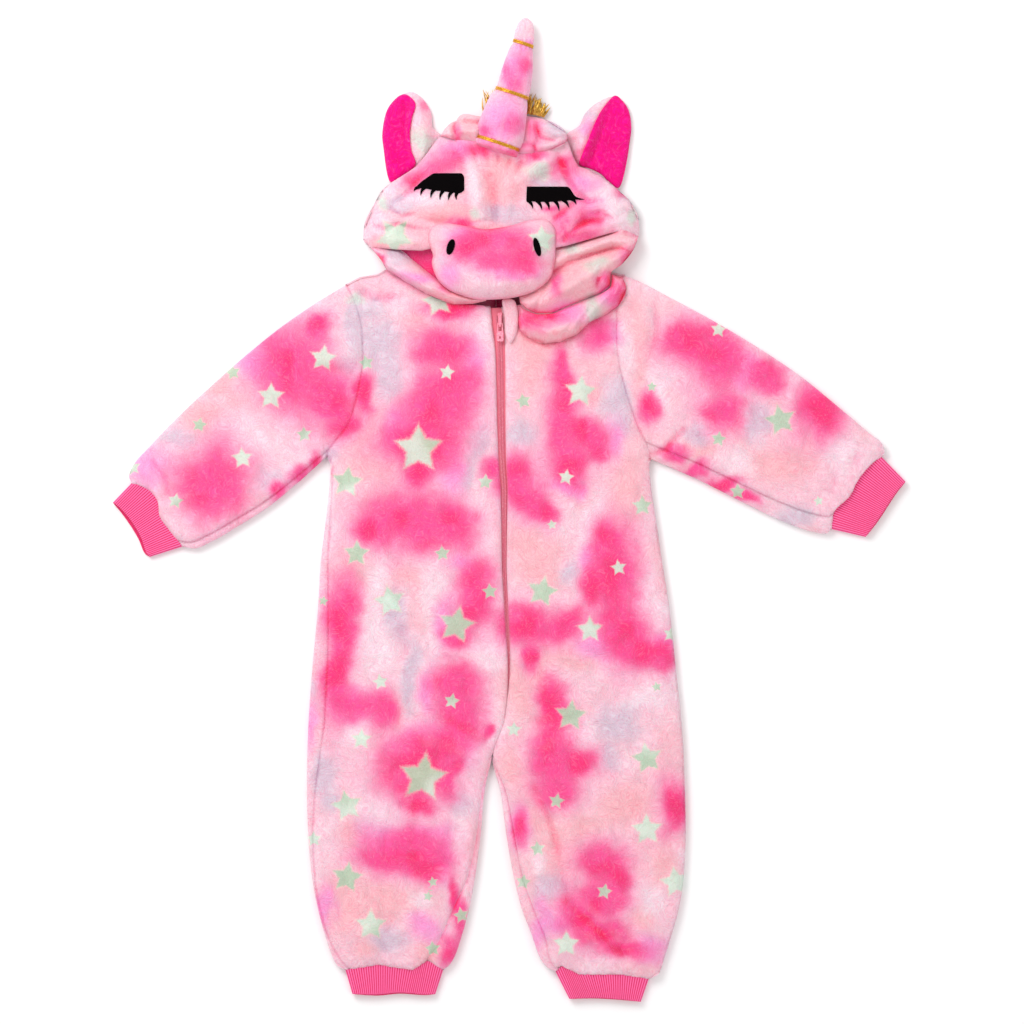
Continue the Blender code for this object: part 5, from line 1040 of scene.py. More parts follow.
def backPanel(side):
    # From the inner edge's strip on top, round the edge, under, and at the right side up to its seam.
    sizes = bodySizes
    levels, row, inward = bodyRows(side)
    torso, above = levels > sizes["crotch"], levels > sizes["armpit"][side]
    wrapped = side == "right"
    middle = np.interp(levels, [sizes["crotch"], levels[0]], [row["middle"][~torso][0], -13.5])
    inner = np.where(torso, middle, row["middle"])
    width = (inner - row["side"]) * inward
    strip = 9
    t = np.linspace(0, 1, strip)
    near = np.where(torso[:, None], 2.4 * t, np.maximum(row["fold"], 1.2)[:, None] * (1 - t) ** 1.6)
    seam = np.maximum(row["seam"], sizes["seamInset"])
    far = np.where(above[:, None], 2.4 * t[::-1], seam[:, None] * t**1.6)
    if not wrapped:
        far = np.zeros((len(levels), 1))
    across = 3 + (width[:, None] - 6) * packed(70, 0.8)
    distance = np.column_stack([near, across, width[:, None] - far])
    xs = inner[:, None] - inward * distance
    layer = -np.ones(xs.shape)
    layer[~torso, : strip - 1] = 1
    if wrapped:
        layer[~above, 1 - strip:] = 1
    plan = leveled(side, "back", levels, xs)
    seams = [armhole(side), plan[crotchRow:, 0]] + ([plan[armpitRow:, -1]] if wrapped else [])
    sewTube(f"backCloth_{side}", f"back_{side}", plan, layer, levels - levels[-1], seams, backDyeAndNeckShadow, -1)
    return plan[-1], strip


def ankleLines(side, front, back, strip):
    # The leg's upper and lower edge at the ankle, from the side to the inner leg.
    if side == "right":
        upper = np.concatenate([back[-strip:], front, back[:strip]])
        return upper, back[strip - 1: 1 - strip][::-1]
    return np.concatenate([front, back[:strip]]), back[strip - 1:][::-1]


# Sleeves and cuffs.


def coons(first, second, start, end, s, c):
    # Plan points between four curves: c runs from first to second, s from start to end.
    rows = s[:, None, None]
    c = c[..., None]
    sides = (1 - c) * along(first, s)[:, None] + c * along(second, s)[:, None]
    ends = (1 - rows) * atShare(start, c[..., 0]) + rows * atShare(end, c[..., 0])
    start, end = np.asarray(start, float), np.asarray(end, float)
    corners = (1 - rows) * ((1 - c) * start[0] + c * start[-1]) + rows * ((1 - c) * end[0] + c * end[-1])
    return sides + ends - corners


def sleeve(side):
    # Columns run over the top from the underarm seam to the upper edge, under to the lower edge, and
    # up again to the seam. Rows run from the armhole to the wrist. Gives the wrist's two edges.
    length = lengths(sleeveTops[side])[-1]
    s = 1 - (1 - np.linspace(0, 1, 150)) ** 1.15
    hole = armhole(side)
    wrist = along(wristSeams[side], np.linspace(0, 1, 60))
    first = np.array([hole[0], *sleeveTops[side][1:]], float)
    second = np.array([hole[-1], *sleeveUnders[side][1:]], float)
    width = np.linalg.norm(along(second, s) - along(first, s), axis=1)[:, None]
    seam = underarmSeams[side] / width
    upper, under, strip = packed(72, 0.8)[::-1], packed(64, 0.8)[1:], np.linspace(0, 1, 12)[1:] ** 1.4
    c = np.column_stack([(1 - seam) * upper, np.repeat(under[None], len(s), 0), 1 - seam * strip])
    layer = np.repeat([1.0, -1.0, 1.0], [len(upper), len(under), len(strip)])
    plan = coons(first, second, hole, wrist, s, c)
    toCuff = (1 - s) * length * 0.8
    sewTube(f"sleeveCloth_{side}", f"sleeve_{side}", plan, layer, toCuff, [hole, plan[:, 0]], bodyDyeAndCreaseShade)
    last, turn = plan[-1], len(upper) + len(under)
    topLine = np.concatenate([last[: len(upper)][::-1], last[turn:][::-1]])
    return topLine, last[len(upper) - 1: turn]


cuffSizes = {"loft": 7.0, "reach": 6.0, "pitch": 2.6, "rib": 1.0, "wall": 1.9, "perRib": 7}
# edge: the cuff's open end. short: how much shorter its upper side is.
wristEnds = {
    "right": {"edge": [(-416.5, 8), (-407.5, -2.5), (-389.5, -30), (-382.5, -45.5), (-378, -49)],
              "short": 3.5},
    "left": {"edge": [(417, 30), (408.5, 19.5), (387.5, -12), (375, -28)], "short": 1.0},
}
ankleEnds = {
    "right": {"edge": [(-164.5, -508.5), (-139.5, -510), (-114, -508), (-88, -509.5), (-77.5, -508.5)],
              "short": 1.5},
    "left": {"edge": [(138.5, -516.5), (116.5, -514.5), (89, -513), (63.5, -513.5)], "short": 1.0},
}


def cuff(name, upper, lower, end):
    # A ribbed tube: a flattened loop carried from the seam to the edge, over its lip and back inside.
    # Its ribs are a cosine round the loop.
    width = lengths(upper)[-1]
    ribs = round(width / cuffSizes["pitch"])
    columns = ribs * cuffSizes["perRib"]
    share = np.linspace(0, 1, columns + 1)
    share = np.concatenate([share, share[-2:0:-1]])
    layer = np.repeat([1.0, -1.0], [columns + 1, columns - 1])
    seam = np.concatenate([atShare(upper, share[layer > 0]), atShare(lower, share[layer < 0])])
    edge = along(end["edge"], share)
    run = edge - seam
    depth = np.linalg.norm(run, axis=1)
    short = end["short"] * (layer > 0) * np.sqrt(np.abs(np.sin(math.pi * share)))
    full = rounded(np.minimum(share, 1 - share) * width, cuffSizes["reach"])
    half = cuffSizes["loft"] / 2
    wave = 0.5 + 0.5 * np.cos(fullTurn * share * ribs)
    profile = [(r, 0.0) for r in np.linspace(0, 0.985, 26)] + [(0.995, 0.35), (1.0, 0.9), (0.995, 1.5)]
    profile += [(r, cuffSizes["wall"]) for r in np.linspace(0.98, 0.45, 10)]
    rows, ribMarks = [], []
    centre = seam.mean(0) + (edge.mean(0) - seam.mean(0)) * 0.5
    for reach, wall in profile:
        plan = seam + run * (reach * (depth - short) / depth)[:, None]
        outside = 1 - wall / cuffSizes["wall"]
        slack = 0.5 * softNoise(plan, 15, 31) * (layer > 0)
        height = half + layer * np.maximum(half * full - wall * full, 0.12) + slack * full
        height += layer * cuffSizes["rib"] * full * (wave - 0.5) * np.clip(outside, 0, 1) * (layer > 0)
        toward = (centre - plan) / np.linalg.norm(centre - plan, axis=1)[:, None]
        plan = plan + toward * (wall * (1 - full))[:, None]
        rows.append(np.column_stack([plan, height]))
        # The third number is painted light: high on the ribs' crests outside, lower in their grooves, and low
        # inside the cuff for painted shade there.
        deep = wave * 0.8 + 0.2 if wall == 0 else wave * 0.3
        ribMarks.append(np.column_stack([share * width, reach * depth, deep]))
    piece = addPiece(name + "_knit", np.array(rows), "rib", [name], closed=True)
    mark(piece.data, "rib", "FLOAT_VECTOR", np.concatenate(ribMarks))
    declareCloth(piece, 1)


# Hood.
# Lines across the plan: the seats of the ears, and the edges of the face to its rim, top and neck.
hood = {
    "cloth": 4.1, "rimHeight": 5.0, "rise": 20.0, "reach": 44.0, "rollFloor": 12.3,
    "earSeats": [[(-120, 346), (-96.5, 361.5), (-72.5, 392)],
                 [(60.5, 387.2), (73, 361), (82, 358), (100, 348), (110, 339)]],
    "rimRight": [(-72.5, 392), (-96.5, 361.5), (-124, 343), (-131, 337.5), (-140.5, 322), (-151.5, 295.5),
                 (-152, 285), (-146, 276.5)],
    "rimLeft": [(60.5, 387.2), (73, 361), (82, 358), (100, 348), (113.5, 336.5), (127, 324), (135.5, 305),
                (136, 292.5), (135.5, 288.5)],
    "topRight": [(-72.5, 392), (-56.5, 391), (-40, 388.5), (-26, 384), (-12.6, 378.5)],
    "topLeft": [(60.5, 387.2), (39, 379), (24, 375), (8.5, 373), (-12.6, 378.5)],
    "lowerRight": [(-146, 276.5), (-114.5, 274), (-92, 273.2), (-81, 275.5), (-76, 282), (-70, 291),
                   (-60, 296), (-40, 292.5), (-23, 290.5), (-12.6, 291.5)],
    "lowerLeft": [(135.5, 288.5), (118.5, 294.5), (102, 290.5), (80, 284), (60, 278.4), (49, 276.4),
                  (42, 281), (38, 290), (30, 297.5), (16, 297), (0, 293.5), (-12.6, 291.5)],
    "middle": -12.6,  # x of the seam down the face
}
faceFolds = [
    # the bridge of the nose, and the grooves beside it
    (9, 7, (-40, 374), (-38, 364), (-33.5, 331.5), (-29.5, 307), (-29, 302)),
    (6, -2.5, (-18, 350), (-16, 334), (-14.5, 318), (-14, 302)),
    (7, 2.5, (-3, 350), (-2, 330), (0, 312)),
    # the ridge over the left eye, and the lump beside it that laps over the eye's corner
    (8, 6, (3, 343), (14, 349), (30, 360), (44, 369), (50, 373)),
    (5, -6, (52, 374), (56, 362), (61, 349), (70, 334), (82, 324), (96, 323)),
    (12, 9, (74, 364), (86, 350), (102, 338), (118, 324)),
    (7, 4, (64, 370), (72, 360), (84, 346)),
    # the cheek roll and the creases on it
    (9, 9, (60, 302), (76, 314), (94, 318), (112, 313), (122, 302)),
    (4, -3.5, (48, 306), (58, 314), (66, 321), (78, 326)),
    (3.5, -4, (66, 292), (74, 299), (84, 303), (98, 304)),
    (6, 4.5, (54, 287), (62, 292), (80, 295), (98, 297)),
    (3, -2.5, (56, 299), (60, 290), (58, 283)),
    (3, -2.5, (84, 311), (96, 313), (106, 309)),
    (5, 3, (104, 300), (118, 302), (128, 309)),
    # the right brow, cheek and the fold at its lower edge
    (11, 6, (-124, 338), (-106, 352), (-84, 366), (-66, 375), (-56, 380)),
    (5, -3, (-120, 325), (-104, 334), (-96, 346)),
    (3.5, -3, (-124, 316), (-112, 309), (-100, 311)),
    (3, -2.5, (-141, 299), (-128, 296), (-117, 301), (-100, 297), (-84, 296)),
    (8, 4, (-142, 306), (-130, 306), (-116, 308)),
    (7, 4, (-142, 288), (-124, 284), (-104, 283), (-88, 284)),
    (8, 3, (-88, 318), (-72, 314), (-56, 312)),
    (4, -2, (-92, 306), (-76, 304), (-60, 305)),
    # gathers under the horn
    (3.5, -1.6, (-42, 384), (-36, 372), (-33, 362)),
    (3, -1, (-26, 382), (-23, 372), (-22, 364)),
    (3, -0.9, (-12, 379), (-11, 370), (-12, 362)),
    (3, -1, (1, 376), (1, 368), (-1, 360)),
    (3.5, -1.4, (14, 374), (12, 365), (9, 357)),
    (5, 3, (-46, 386), (-30, 383), (-12, 378), (8, 372), (20, 370)),
]


def faceTop(plan, folds=faceFolds):
    # Rises like an ellipse from the hood's rim and like a bell at the ears' seats, dips at the lower
    # edge where that is a seam, and carries the face's folds.
    rim = gapTo(plan, [hood["rimRight"], hood["rimLeft"]])[0]
    lower = gapTo(plan, [hood["lowerRight"], hood["lowerLeft"]])[0]
    rise = rounded(rim, hood["reach"])
    seamed = 1 - eased(106, 122, plan[..., 0])
    seat = np.exp(-((gapTo(plan, hood["earSeats"])[0] / 9) ** 2))
    height = hood["rimHeight"] + hood["rise"] * rise + 6.5 * seat * (1 - rise**2)
    height -= 2.5 * (1 - rounded(lower, 8)) * seamed
    detail = foldHeight(plan, folds) + 0.7 * softNoise(plan, 19, 41) + 0.3 * softNoise(plan, 8, 42)
    return height + detail * rise


def creaseDepth(plan, folds):
    # Creases and crests of the folds round each point, at three distances.
    here, total = foldHeight(plan, folds), 0
    for reach, weight in ((2, 0.7), (5, 0.6), (9, 0.5)):
        found = 0
        for step in ((reach, 0), (0, reach)):
            found = found + meanOver(foldHeight(plan + step, folds), foldHeight(plan - step, folds), here)
        total = total + 0.62 * weight * np.clip(found, -2.5, 2.5)
    return total


def faceHalf(side):
    # A patch between the rim, the seam down the middle, the top and the neck, raised by faceTop.
    name, middle = side.capitalize(), hood["middle"]
    seam = [(middle, 378.5), (middle, 333), (middle, 291.5)]
    s, c = packed(110, 0.6), np.repeat(packed(110, 0.6)[None], 110, 0)
    plan = coons(hood["rim" + name], seam, hood["top" + name], hood["lower" + name], s, c)
    centre = np.exp(-(((plan[..., 0] - middle) / 2.4) ** 2))
    grid = turnedIn(np.dstack([plan, faceTop(plan)]), 1, 2.5, 0.8, 1.0, centre)
    # Painted shade in the face's creases and, at 0.8, along its turned-in border rows; painted highlight on
    # its crests.
    deep = np.pad(creaseDepth(plan, faceFolds), 1, constant_values=0.8)
    piece = addPiece(f"hoodCloth_{side}", grid, "plush", [f"hood_{side}"], facing=1, dyeAndPaintedLight=hoodDyeAndRidgeHighlight, deep=deep)
    declareCloth(piece)


def faceUnder(plan):
    # The face without its ridges and with wider troughs, lowered by the cloth and a gap of 2.2.
    valleys = [(width * 2.2, height, *line) for width, height, *line in faceFolds if height < 0]
    return faceTop(plan, valleys) - hood["cloth"] - 2.2


hiddenEdge = [
    (-70, 387), (-94, 357), (-117, 336), (-129, 317), (-139.5, 295), (-140, 286), (-136, 272), (-112, 249),
    (-83, 232.5), (-60, 227), (-20, 227), (20, 227), (34, 223), (64, 233), (90, 246), (104, 255), (126, 276),
    (128, 290), (124, 303), (114, 318), (103, 329), (92, 340), (75, 350), (57, 381), (38, 370), (11, 363),
    (-12, 364), (-37, 375), (-55, 383),
]


def fan(edge, centre, count):
    # Plan points on rays from a centre to a closed edge: rings at shares that close up near the edge.
    shares = 1 - (1 - np.linspace(0, 1, count)) ** 1.35
    return np.array(centre) + shares[:, None, None] * (edge - np.array(centre))


def closedBody(plan, top, bottom):
    # The top's rings from the pole out, then the bottom's rings from the edge back to the pole.
    return np.concatenate([np.dstack([plan, top(plan)]), np.dstack([plan, bottom(plan)])[::-1]])


def level(height):
    # A flat surface at one height.
    return lambda plan: np.full(plan.shape[:-1], float(height))


def hoodInside():
    # Rings about the hood's middle, with one height for each point above and below.
    def top(plan):
        # Level with the body below the face, and close under the cloth within it.
        lower = gapTo(plan, [hood["lowerRight"], hood["lowerLeft"]])[0]
        under = faceUnder(plan)
        floor = hood["rollFloor"] - 0.6
        share = np.clip((lower - 13) / 12, 0, 1) * (plan[..., 1] > 285)
        return np.minimum(floor + share * np.maximum(under - floor, 0), np.maximum(under, 2))

    def bottom(plan):
        # On the ground above the back's neck edge, and on the back below it.
        return np.where(plan[..., 1] > 262.4, 0.1, bodySizes["loft"] / 2 + 0.2)

    grid = closedBody(fan(loopThrough(hiddenEdge, 160), (-6, 300), 40), top, bottom)
    piece = addPiece("hoodInside", grid, "plush", ["hood_hidden_layers"], closed=True, dyeAndPaintedLight=recessHotAndNeckShadow)
    declareCloth(piece, 2)


# outer and inner: a roll's two edges. lobes: rows of knots x, y, width and height. base: what it lies on.
rolls = {
    "hood_hem_right": {
        "outer": [(-145.6, 276.1), (-134.5, 263), (-128, 252.5), (-110, 241), (-87, 227.5), (-69.5, 220),
                  (-58, 216.5), (-38, 217), (-24, 220)],
        "inner": [(-145.6, 276.1), (-127, 274.6), (-115.5, 273.5), (-101, 263), (-87, 251.5), (-73.5, 241),
                  (-61, 230), (-38, 224), (-24, 223)],
        "lobes": [[(-136, 266, 10, 9), (-112, 252, 13, 15), (-80, 234, 13, 15), (-45, 221, 7, 7)]],
        "folds": [(3.5, -3, (-140, 268), (-118, 257), (-98, 246), (-76, 232)),
                  (4, 1.6, (-130, 258), (-104, 243), (-80, 230))],
        "base": 12.3, "dyeAndPaintedLight": rollDye,
    },
    "hood_jaw_left": {
        "outer": [(10.5, 225), (11.5, 218), (19, 211.5), (30.5, 207), (44, 207.5), (59, 213.5), (77.5, 221),
                  (95.5, 228), (106, 237), (107, 249), (118, 258), (131, 274.5), (136, 287.9)],
        "inner": [(10.5, 225), (24, 232), (38.5, 245), (43.5, 260), (45.5, 275), (80, 283.5), (102, 290),
                  (118.5, 294), (136, 287.9)],
        "lobes": [[(50, 262, 8, 7), (78, 273, 8, 9), (108, 284, 9, 12), (126, 281, 11, 12)],
                  [(16, 216, 9, 8), (40, 224, 14, 13), (70, 240, 15, 16), (96, 256, 14, 16),
                   (118, 266, 11, 12)],
                  [(98, 240, 8, 10), (104, 250, 7, 10)]],
        "folds": [(3.2, -5, (47, 250), (62, 262), (80, 267), (104, 274), (128, 280)),
                  (3, -3, (60, 240), (76, 252), (96, 262), (112, 270)),
                  (2.6, -3, (94, 236), (92, 246), (100, 258)),
                  (2.6, -2, (28, 212), (34, 226), (40, 240)),
                  (2.4, -1.6, (74, 262), (84, 256), (92, 250))],
        "base": 12.3, "dyeAndPaintedLight": rollDye,
    },
    "hood_collar_left": {
        "outer": [(11.5, 214.5), (9.5, 200), (11.5, 188.5), (21, 181), (38, 175), (54.5, 177), (71.5, 184.5),
                  (84, 197), (103, 206.5), (114.5, 214.5), (123, 232.5), (119.5, 243), (108, 248)],
        "inner": [(11.5, 214.5), (19, 210), (30.5, 206), (44, 206.5), (59, 212.5), (77.5, 220), (95.5, 227),
                  (107, 236), (108, 248)],
        "lobes": [[(18, 196, 9, 7), (40, 188, 12, 12), (64, 194, 12, 13), (88, 211, 11, 12),
                   (112, 232, 10, 10)]],
        "folds": [(3, -4, (16, 206), (36, 200), (56, 204), (74, 212)),
                  (3, -3, (74, 196), (82, 208), (86, 218)),
                  (2.6, -2, (58, 186), (66, 196), (70, 208)),
                  (3, -2.5, (100, 216), (108, 226), (108, 240))],
        "base": 12.3, "dyeAndPaintedLight": rollDye,
    },
    "hood_crown": {
        "outer": [(-72.2, 393.2), (-66, 402.5), (-59.5, 408), (-55.5, 409.5), (-52.5, 414), (-46.5, 416.6),
                  (-38, 415.5), (-31.5, 414), (-9.5, 417.5), (24, 414), (37, 411), (60.6, 395.5),
                  (61.5, 391)],
        "inner": [(-72.2, 393.2), (-56.5, 388), (-40, 385.5), (-26, 381), (-12.6, 375.5), (8.5, 370),
                  (24, 372), (39, 376), (59.5, 386), (61.5, 391)],
        "lobes": [[(-48, 412, 8, 12), (-36, 412, 9, 13)], [(-48, 399, 9, 14), (-36, 397, 10, 15)],
                  [(-66, 400, 7, 8), (-61, 394, 8, 11)], [(24, 408, 7, 6), (26, 388, 7, 5)],
                  [(38, 407, 12, 12), (54, 396, 10, 12)], [(12, 379, 6, 4), (22, 379, 6, 5)],
                  [(33, 382, 7, 6), (46, 383, 7, 5)]],
        "folds": [(2.6, -4, (-54, 408), (-41, 408), (-31, 406)),
                  (2.8, -5, (-55, 413), (-58, 400), (-57, 389)),
                  (3, -3, (31, 413), (30.5, 400), (31, 388)),
                  (3, -3.4, (33, 389), (46, 388), (58, 393)),
                  (2.6, -2, (27, 386), (28, 380), (28, 375))],
        "base": 0.0, "dyeAndPaintedLight": crownDye,
    },
}


def roll(name, sizes):
    # A ruled strip between its two edges, its height a rounded rim plus the lobes along it.
    crown = name == "hood_crown"
    s, c = packed(130, 0.5), packed(34, 0.7)
    edges = [along(sizes[edge], s)[:, None] for edge in ("outer", "inner")]
    plan = (1 - c[:, None]) * edges[0] + c[:, None] * edges[1]
    gap = gapTo(plan, [sizes["outer"], sizes["inner"]])[0]
    rim, broad = rounded(gap, 6), rounded(gap, 10)
    detail = foldHeight(plan, sizes["folds"]) + 0.5 * softNoise(plan, 14, 51) + 0.25 * softNoise(plan, 6, 52)
    height = (2.0 if crown else sizes["base"]) + 0.6 + 4.4 * rim
    height += lobeHeight(plan, sizes["lobes"]) * (0.15 + 0.85 * broad) + detail * rim
    if crown:
        # Its inner edge is as high as the face's, which it is sewn to.
        height += 18 * np.sqrt(1 - (1 - c) ** 2)
    if name == "hood_jaw_left":
        # At its outer end the cloth runs on from the face with no seam.
        gap = gapTo(plan, [sizes["inner"]])[0]
        height += (faceTop(plan, []) + 3 - height) * eased(104, 120, plan[..., 0]) * (1 - eased(2, 14, gap))
    upper = np.dstack([plan, height])
    lower = upper[:, ::-1].copy()
    lower[..., 2] = sizes["base"] + 0.05
    grid = cappedEnds(np.concatenate([upper, lower], 1))
    # Painted shade in the roll's creases and along the edges where it is sewn or lies on the cloth; painted
    # highlight on its crests.
    joints = [sizes["inner"]] if crown else [sizes["inner"], sizes["outer"]]
    deep = 0.6 * hollows(grid[..., 2], True) + 2.6 * np.exp(-((gapTo(grid[..., :2], joints)[0] / 3) ** 2))
    piece = addPiece(name + "_cloth", grid, "plush", [name], closed=True, dyeAndPaintedLight=sizes["dyeAndPaintedLight"], deep=deep)
    declareCloth(piece, 2)


def cappedEnds(grid):
    # The first and the last ring closed to their middles.
    ends = [np.repeat(grid[k].mean(0)[None], grid.shape[1], 0)[None] for k in (0, -1)]
    return np.concatenate([ends[0], grid, ends[1]])


# Muzzle, eyes and ears.
# lap: how far the muzzle laps over its own seam. A nostril leans by degrees.
muzzle = {
    "edge": [(-83, 289.5), (-76.5, 298), (-62, 299), (-40, 295.5), (-23, 293.5), (0, 296.5), (24, 303),
             (39, 303), (47, 293.5), (47, 279), (46, 260), (41, 244), (26, 231.5), (4.5, 225), (-19, 223),
             (-38, 224), (-60, 231.5), (-72.5, 242), (-79, 258), (-78, 268), (-82, 279)],
    "centre": (-18.0, 262.0), "low": 16.0, "rim": 22.5, "top": 47.0, "lap": 1.8,
    "nostrils": {
        "right": {"x": -61, "y": 275.5, "lean": 17, "wide": 7.9, "tall": 16.8},
        "left": {"x": 29.5, "y": 275.5, "lean": -15, "wide": 6.8, "tall": 20},
    },
    "folds": [(11, -3.5, (-20, 300), (-19, 288), (-18, 276)), (10, 3, (-66, 290), (-58, 280)),
              (10, 3, (36, 294), (30, 282)), (8, -1.6, (-74, 258), (-60, 256), (-46, 262)),
              (8, -1.4, (46, 262), (30, 258), (14, 262)),
              (10, 1.4, (-50, 240), (-20, 236), (14, 240))],
}
muzzleLoop = loopThrough(muzzle["edge"], 240)
ahead = np.roll(muzzleLoop, -2, 0) - np.roll(muzzleLoop, 2, 0)
outwards = np.column_stack([ahead[:, 1], -ahead[:, 0]]) / np.linalg.norm(ahead, axis=1)[:, None]
muzzleLoop += outwards * muzzle["lap"] * np.sign((outwards * (muzzleLoop - muzzle["centre"])).sum())


def muzzleBulge(plan):
    # 0 on the outline and 1 at the centre: the root of 1 minus the share of the way out, to a power.
    edge = muzzleLoop - muzzle["centre"]
    angle = np.arctan2(edge[:, 1], edge[:, 0])
    order = np.argsort(angle)
    offset = plan - np.array(muzzle["centre"])
    reach = np.interp(np.arctan2(offset[..., 1], offset[..., 0]), angle[order],
                      np.linalg.norm(edge, axis=1)[order], period=fullTurn)
    return np.sqrt(1 - np.clip(np.linalg.norm(offset, axis=-1) / reach, 0, 1) ** 2.8)


def muzzleTop(plan):
    # From the rim's height to the top's by the bulge, which fades the folds and the noise as well.
    bulge = muzzleBulge(plan)
    detail = foldHeight(plan, muzzle["folds"]) + 0.4 * softNoise(plan, 16, 61) + 0.2 * softNoise(plan, 7, 62)
    return muzzle["rim"] + (muzzle["top"] - muzzle["rim"]) * bulge + detail * bulge


def addMuzzle():
    # A pad of rings from its pole out and back under, and the nostrils as leaning ellipses on it.
    def bottom(plan):
        return np.maximum(muzzle["low"] - 22 * muzzleBulge(plan), hood["rollFloor"]) - 0.01

    grid = closedBody(fan(muzzleLoop, muzzle["centre"], 70), muzzleTop, bottom)
    # Painted shade along the outline where the muzzle meets the face, and in its creases; painted highlight
    # on its crests.
    touching = gapTo(grid[..., :2], closedLine(muzzleLoop))[0]
    deep = hollows(grid[..., 2], True) + 2.2 * np.exp(-((touching / 2.4) ** 2))
    piece = addPiece("muzzlePad", grid, "plush", ["muzzle"], closed=True, dyeAndPaintedLight=muzzleDye, deep=deep)
    for side, sizes in muzzle["nostrils"].items():
        turn = math.radians(-sizes["lean"])
        angle = np.arange(48) / 48 * fullTurn
        across, up = sizes["wide"] / 2 * np.cos(angle), sizes["tall"] / 2 * np.sin(angle)
        edge = np.column_stack([
            sizes["x"] + across * math.cos(turn) - up * math.sin(turn),
            sizes["y"] + across * math.sin(turn) + up * math.cos(turn),
        ])
        plan = fan(edge, edge.mean(0), 12)
        addFelt(f"nostrilFelt_{side}", plan, muzzleTop, [f"nostril_{side}"])


felt = {"thick": 1.5, "sunk": 0.4}


def addFelt(name, plan, surface, replaced):
    # A thin felt shape that follows what it is sewn to, its edge rounded over.
    share = np.linspace(0, 1, len(plan))[:, None]
    thick = felt["thick"] * rounded(1 - share, 0.16)

    def top(plan):
        return surface(plan) + thick

    def bottom(plan):
        return surface(plan) - felt["sunk"]

    piece = addPiece(name, closedBody(plan, top, bottom), "felt", replaced, closed=True)
    declareCloth(piece, 2)


# A lash is its root and its tip. bend: how far its middle stands aside.
eyes = {
    "right": {
        "upper": [(-97.5, 339), (-95, 342), (-86, 349), (-77.5, 353.5), (-50.5, 353.5), (-47, 349),
                  (-46.8, 335.5)],
        "lower": [(-97.5, 339), (-95.5, 338), (-89, 337.5), (-78.5, 335.5), (-69, 334.5), (-60, 333.3),
                  (-52, 332.5), (-46.8, 335.5)],
        "lashes": [(-95.5, 338, -100, 334.5), (-89, 337.5, -92.5, 330), (-78.5, 335.5, -82, 327.5),
                   (-69, 334.5, -72.5, 325.5), (-60, 333.3, -63.5, 325), (-54, 332.7, -55, 325.5)],
        "bend": -1.2,
    },
    "left": {
        "upper": [(18, 324.5), (19, 339.5), (40, 339.5), (61, 339.5), (70.5, 329), (79.4, 326.2)],
        "lower": [(18, 324.5), (28, 323.6), (40, 323.4), (57, 324.4), (70, 325.8), (79.4, 326.2)],
        "lashes": [(20.5, 324, 25, 316), (29.5, 323.8, 34.5, 315), (38.5, 323.8, 42, 315),
                   (48, 324, 52.5, 314), (57, 324.8, 63, 317), (66, 325.6, 70.5, 320.5)],
        "bend": 1.2,
    },
}


def addEye(side):
    # The lid is a ruled shape between its two edges; each lash tapers from root to tip and hooks a little.
    sizes = eyes[side]
    s = packed(70, 0.5)
    first, second = along(sizes["upper"], s), along(sizes["lower"], s)
    edge = np.vstack([first, second[-2:0:-1]])
    plan = fan(edge, edge.mean(0), 22)
    addFelt(f"eyeFelt_{side}", plan, faceTop, [f"eye_{side}"])
    table = np.array(sizes["lashes"], float)
    root, tip = table[:, None, None, :2], table[:, None, None, 2:]
    t = np.linspace(0, 1, 12)[:, None, None]
    turn = (np.arange(8) / 8 * fullTurn)[:, None]
    ahead = (tip - root) / np.linalg.norm(tip - root, axis=-1, keepdims=True)
    aside = np.stack([-ahead[..., 1], ahead[..., 0]], -1)
    half = 1.9 * (1 - t**1.5) + 0.12
    middle = root - ahead * 1.2 + (tip - root + ahead * 1.2) * t
    middle = middle + aside * (sizes["bend"] * np.sin(math.pi * t))
    plan = middle + aside * half * np.cos(turn)
    height = faceTop(plan) + 0.75 + 0.75 * np.sin(turn[:, 0]) * (0.35 + 0.65 * (1 - t[..., 0] ** 2))
    points = np.concatenate([plan, height[..., None]], -1)
    faces = np.concatenate([quadsOf(12, 8, True) + 96 * k for k in range(len(table))])
    lashes = addMesh(f"lashes_{side}", points.reshape(-1, 3), faces, "felt")
    declareCloth(lashes, 2)


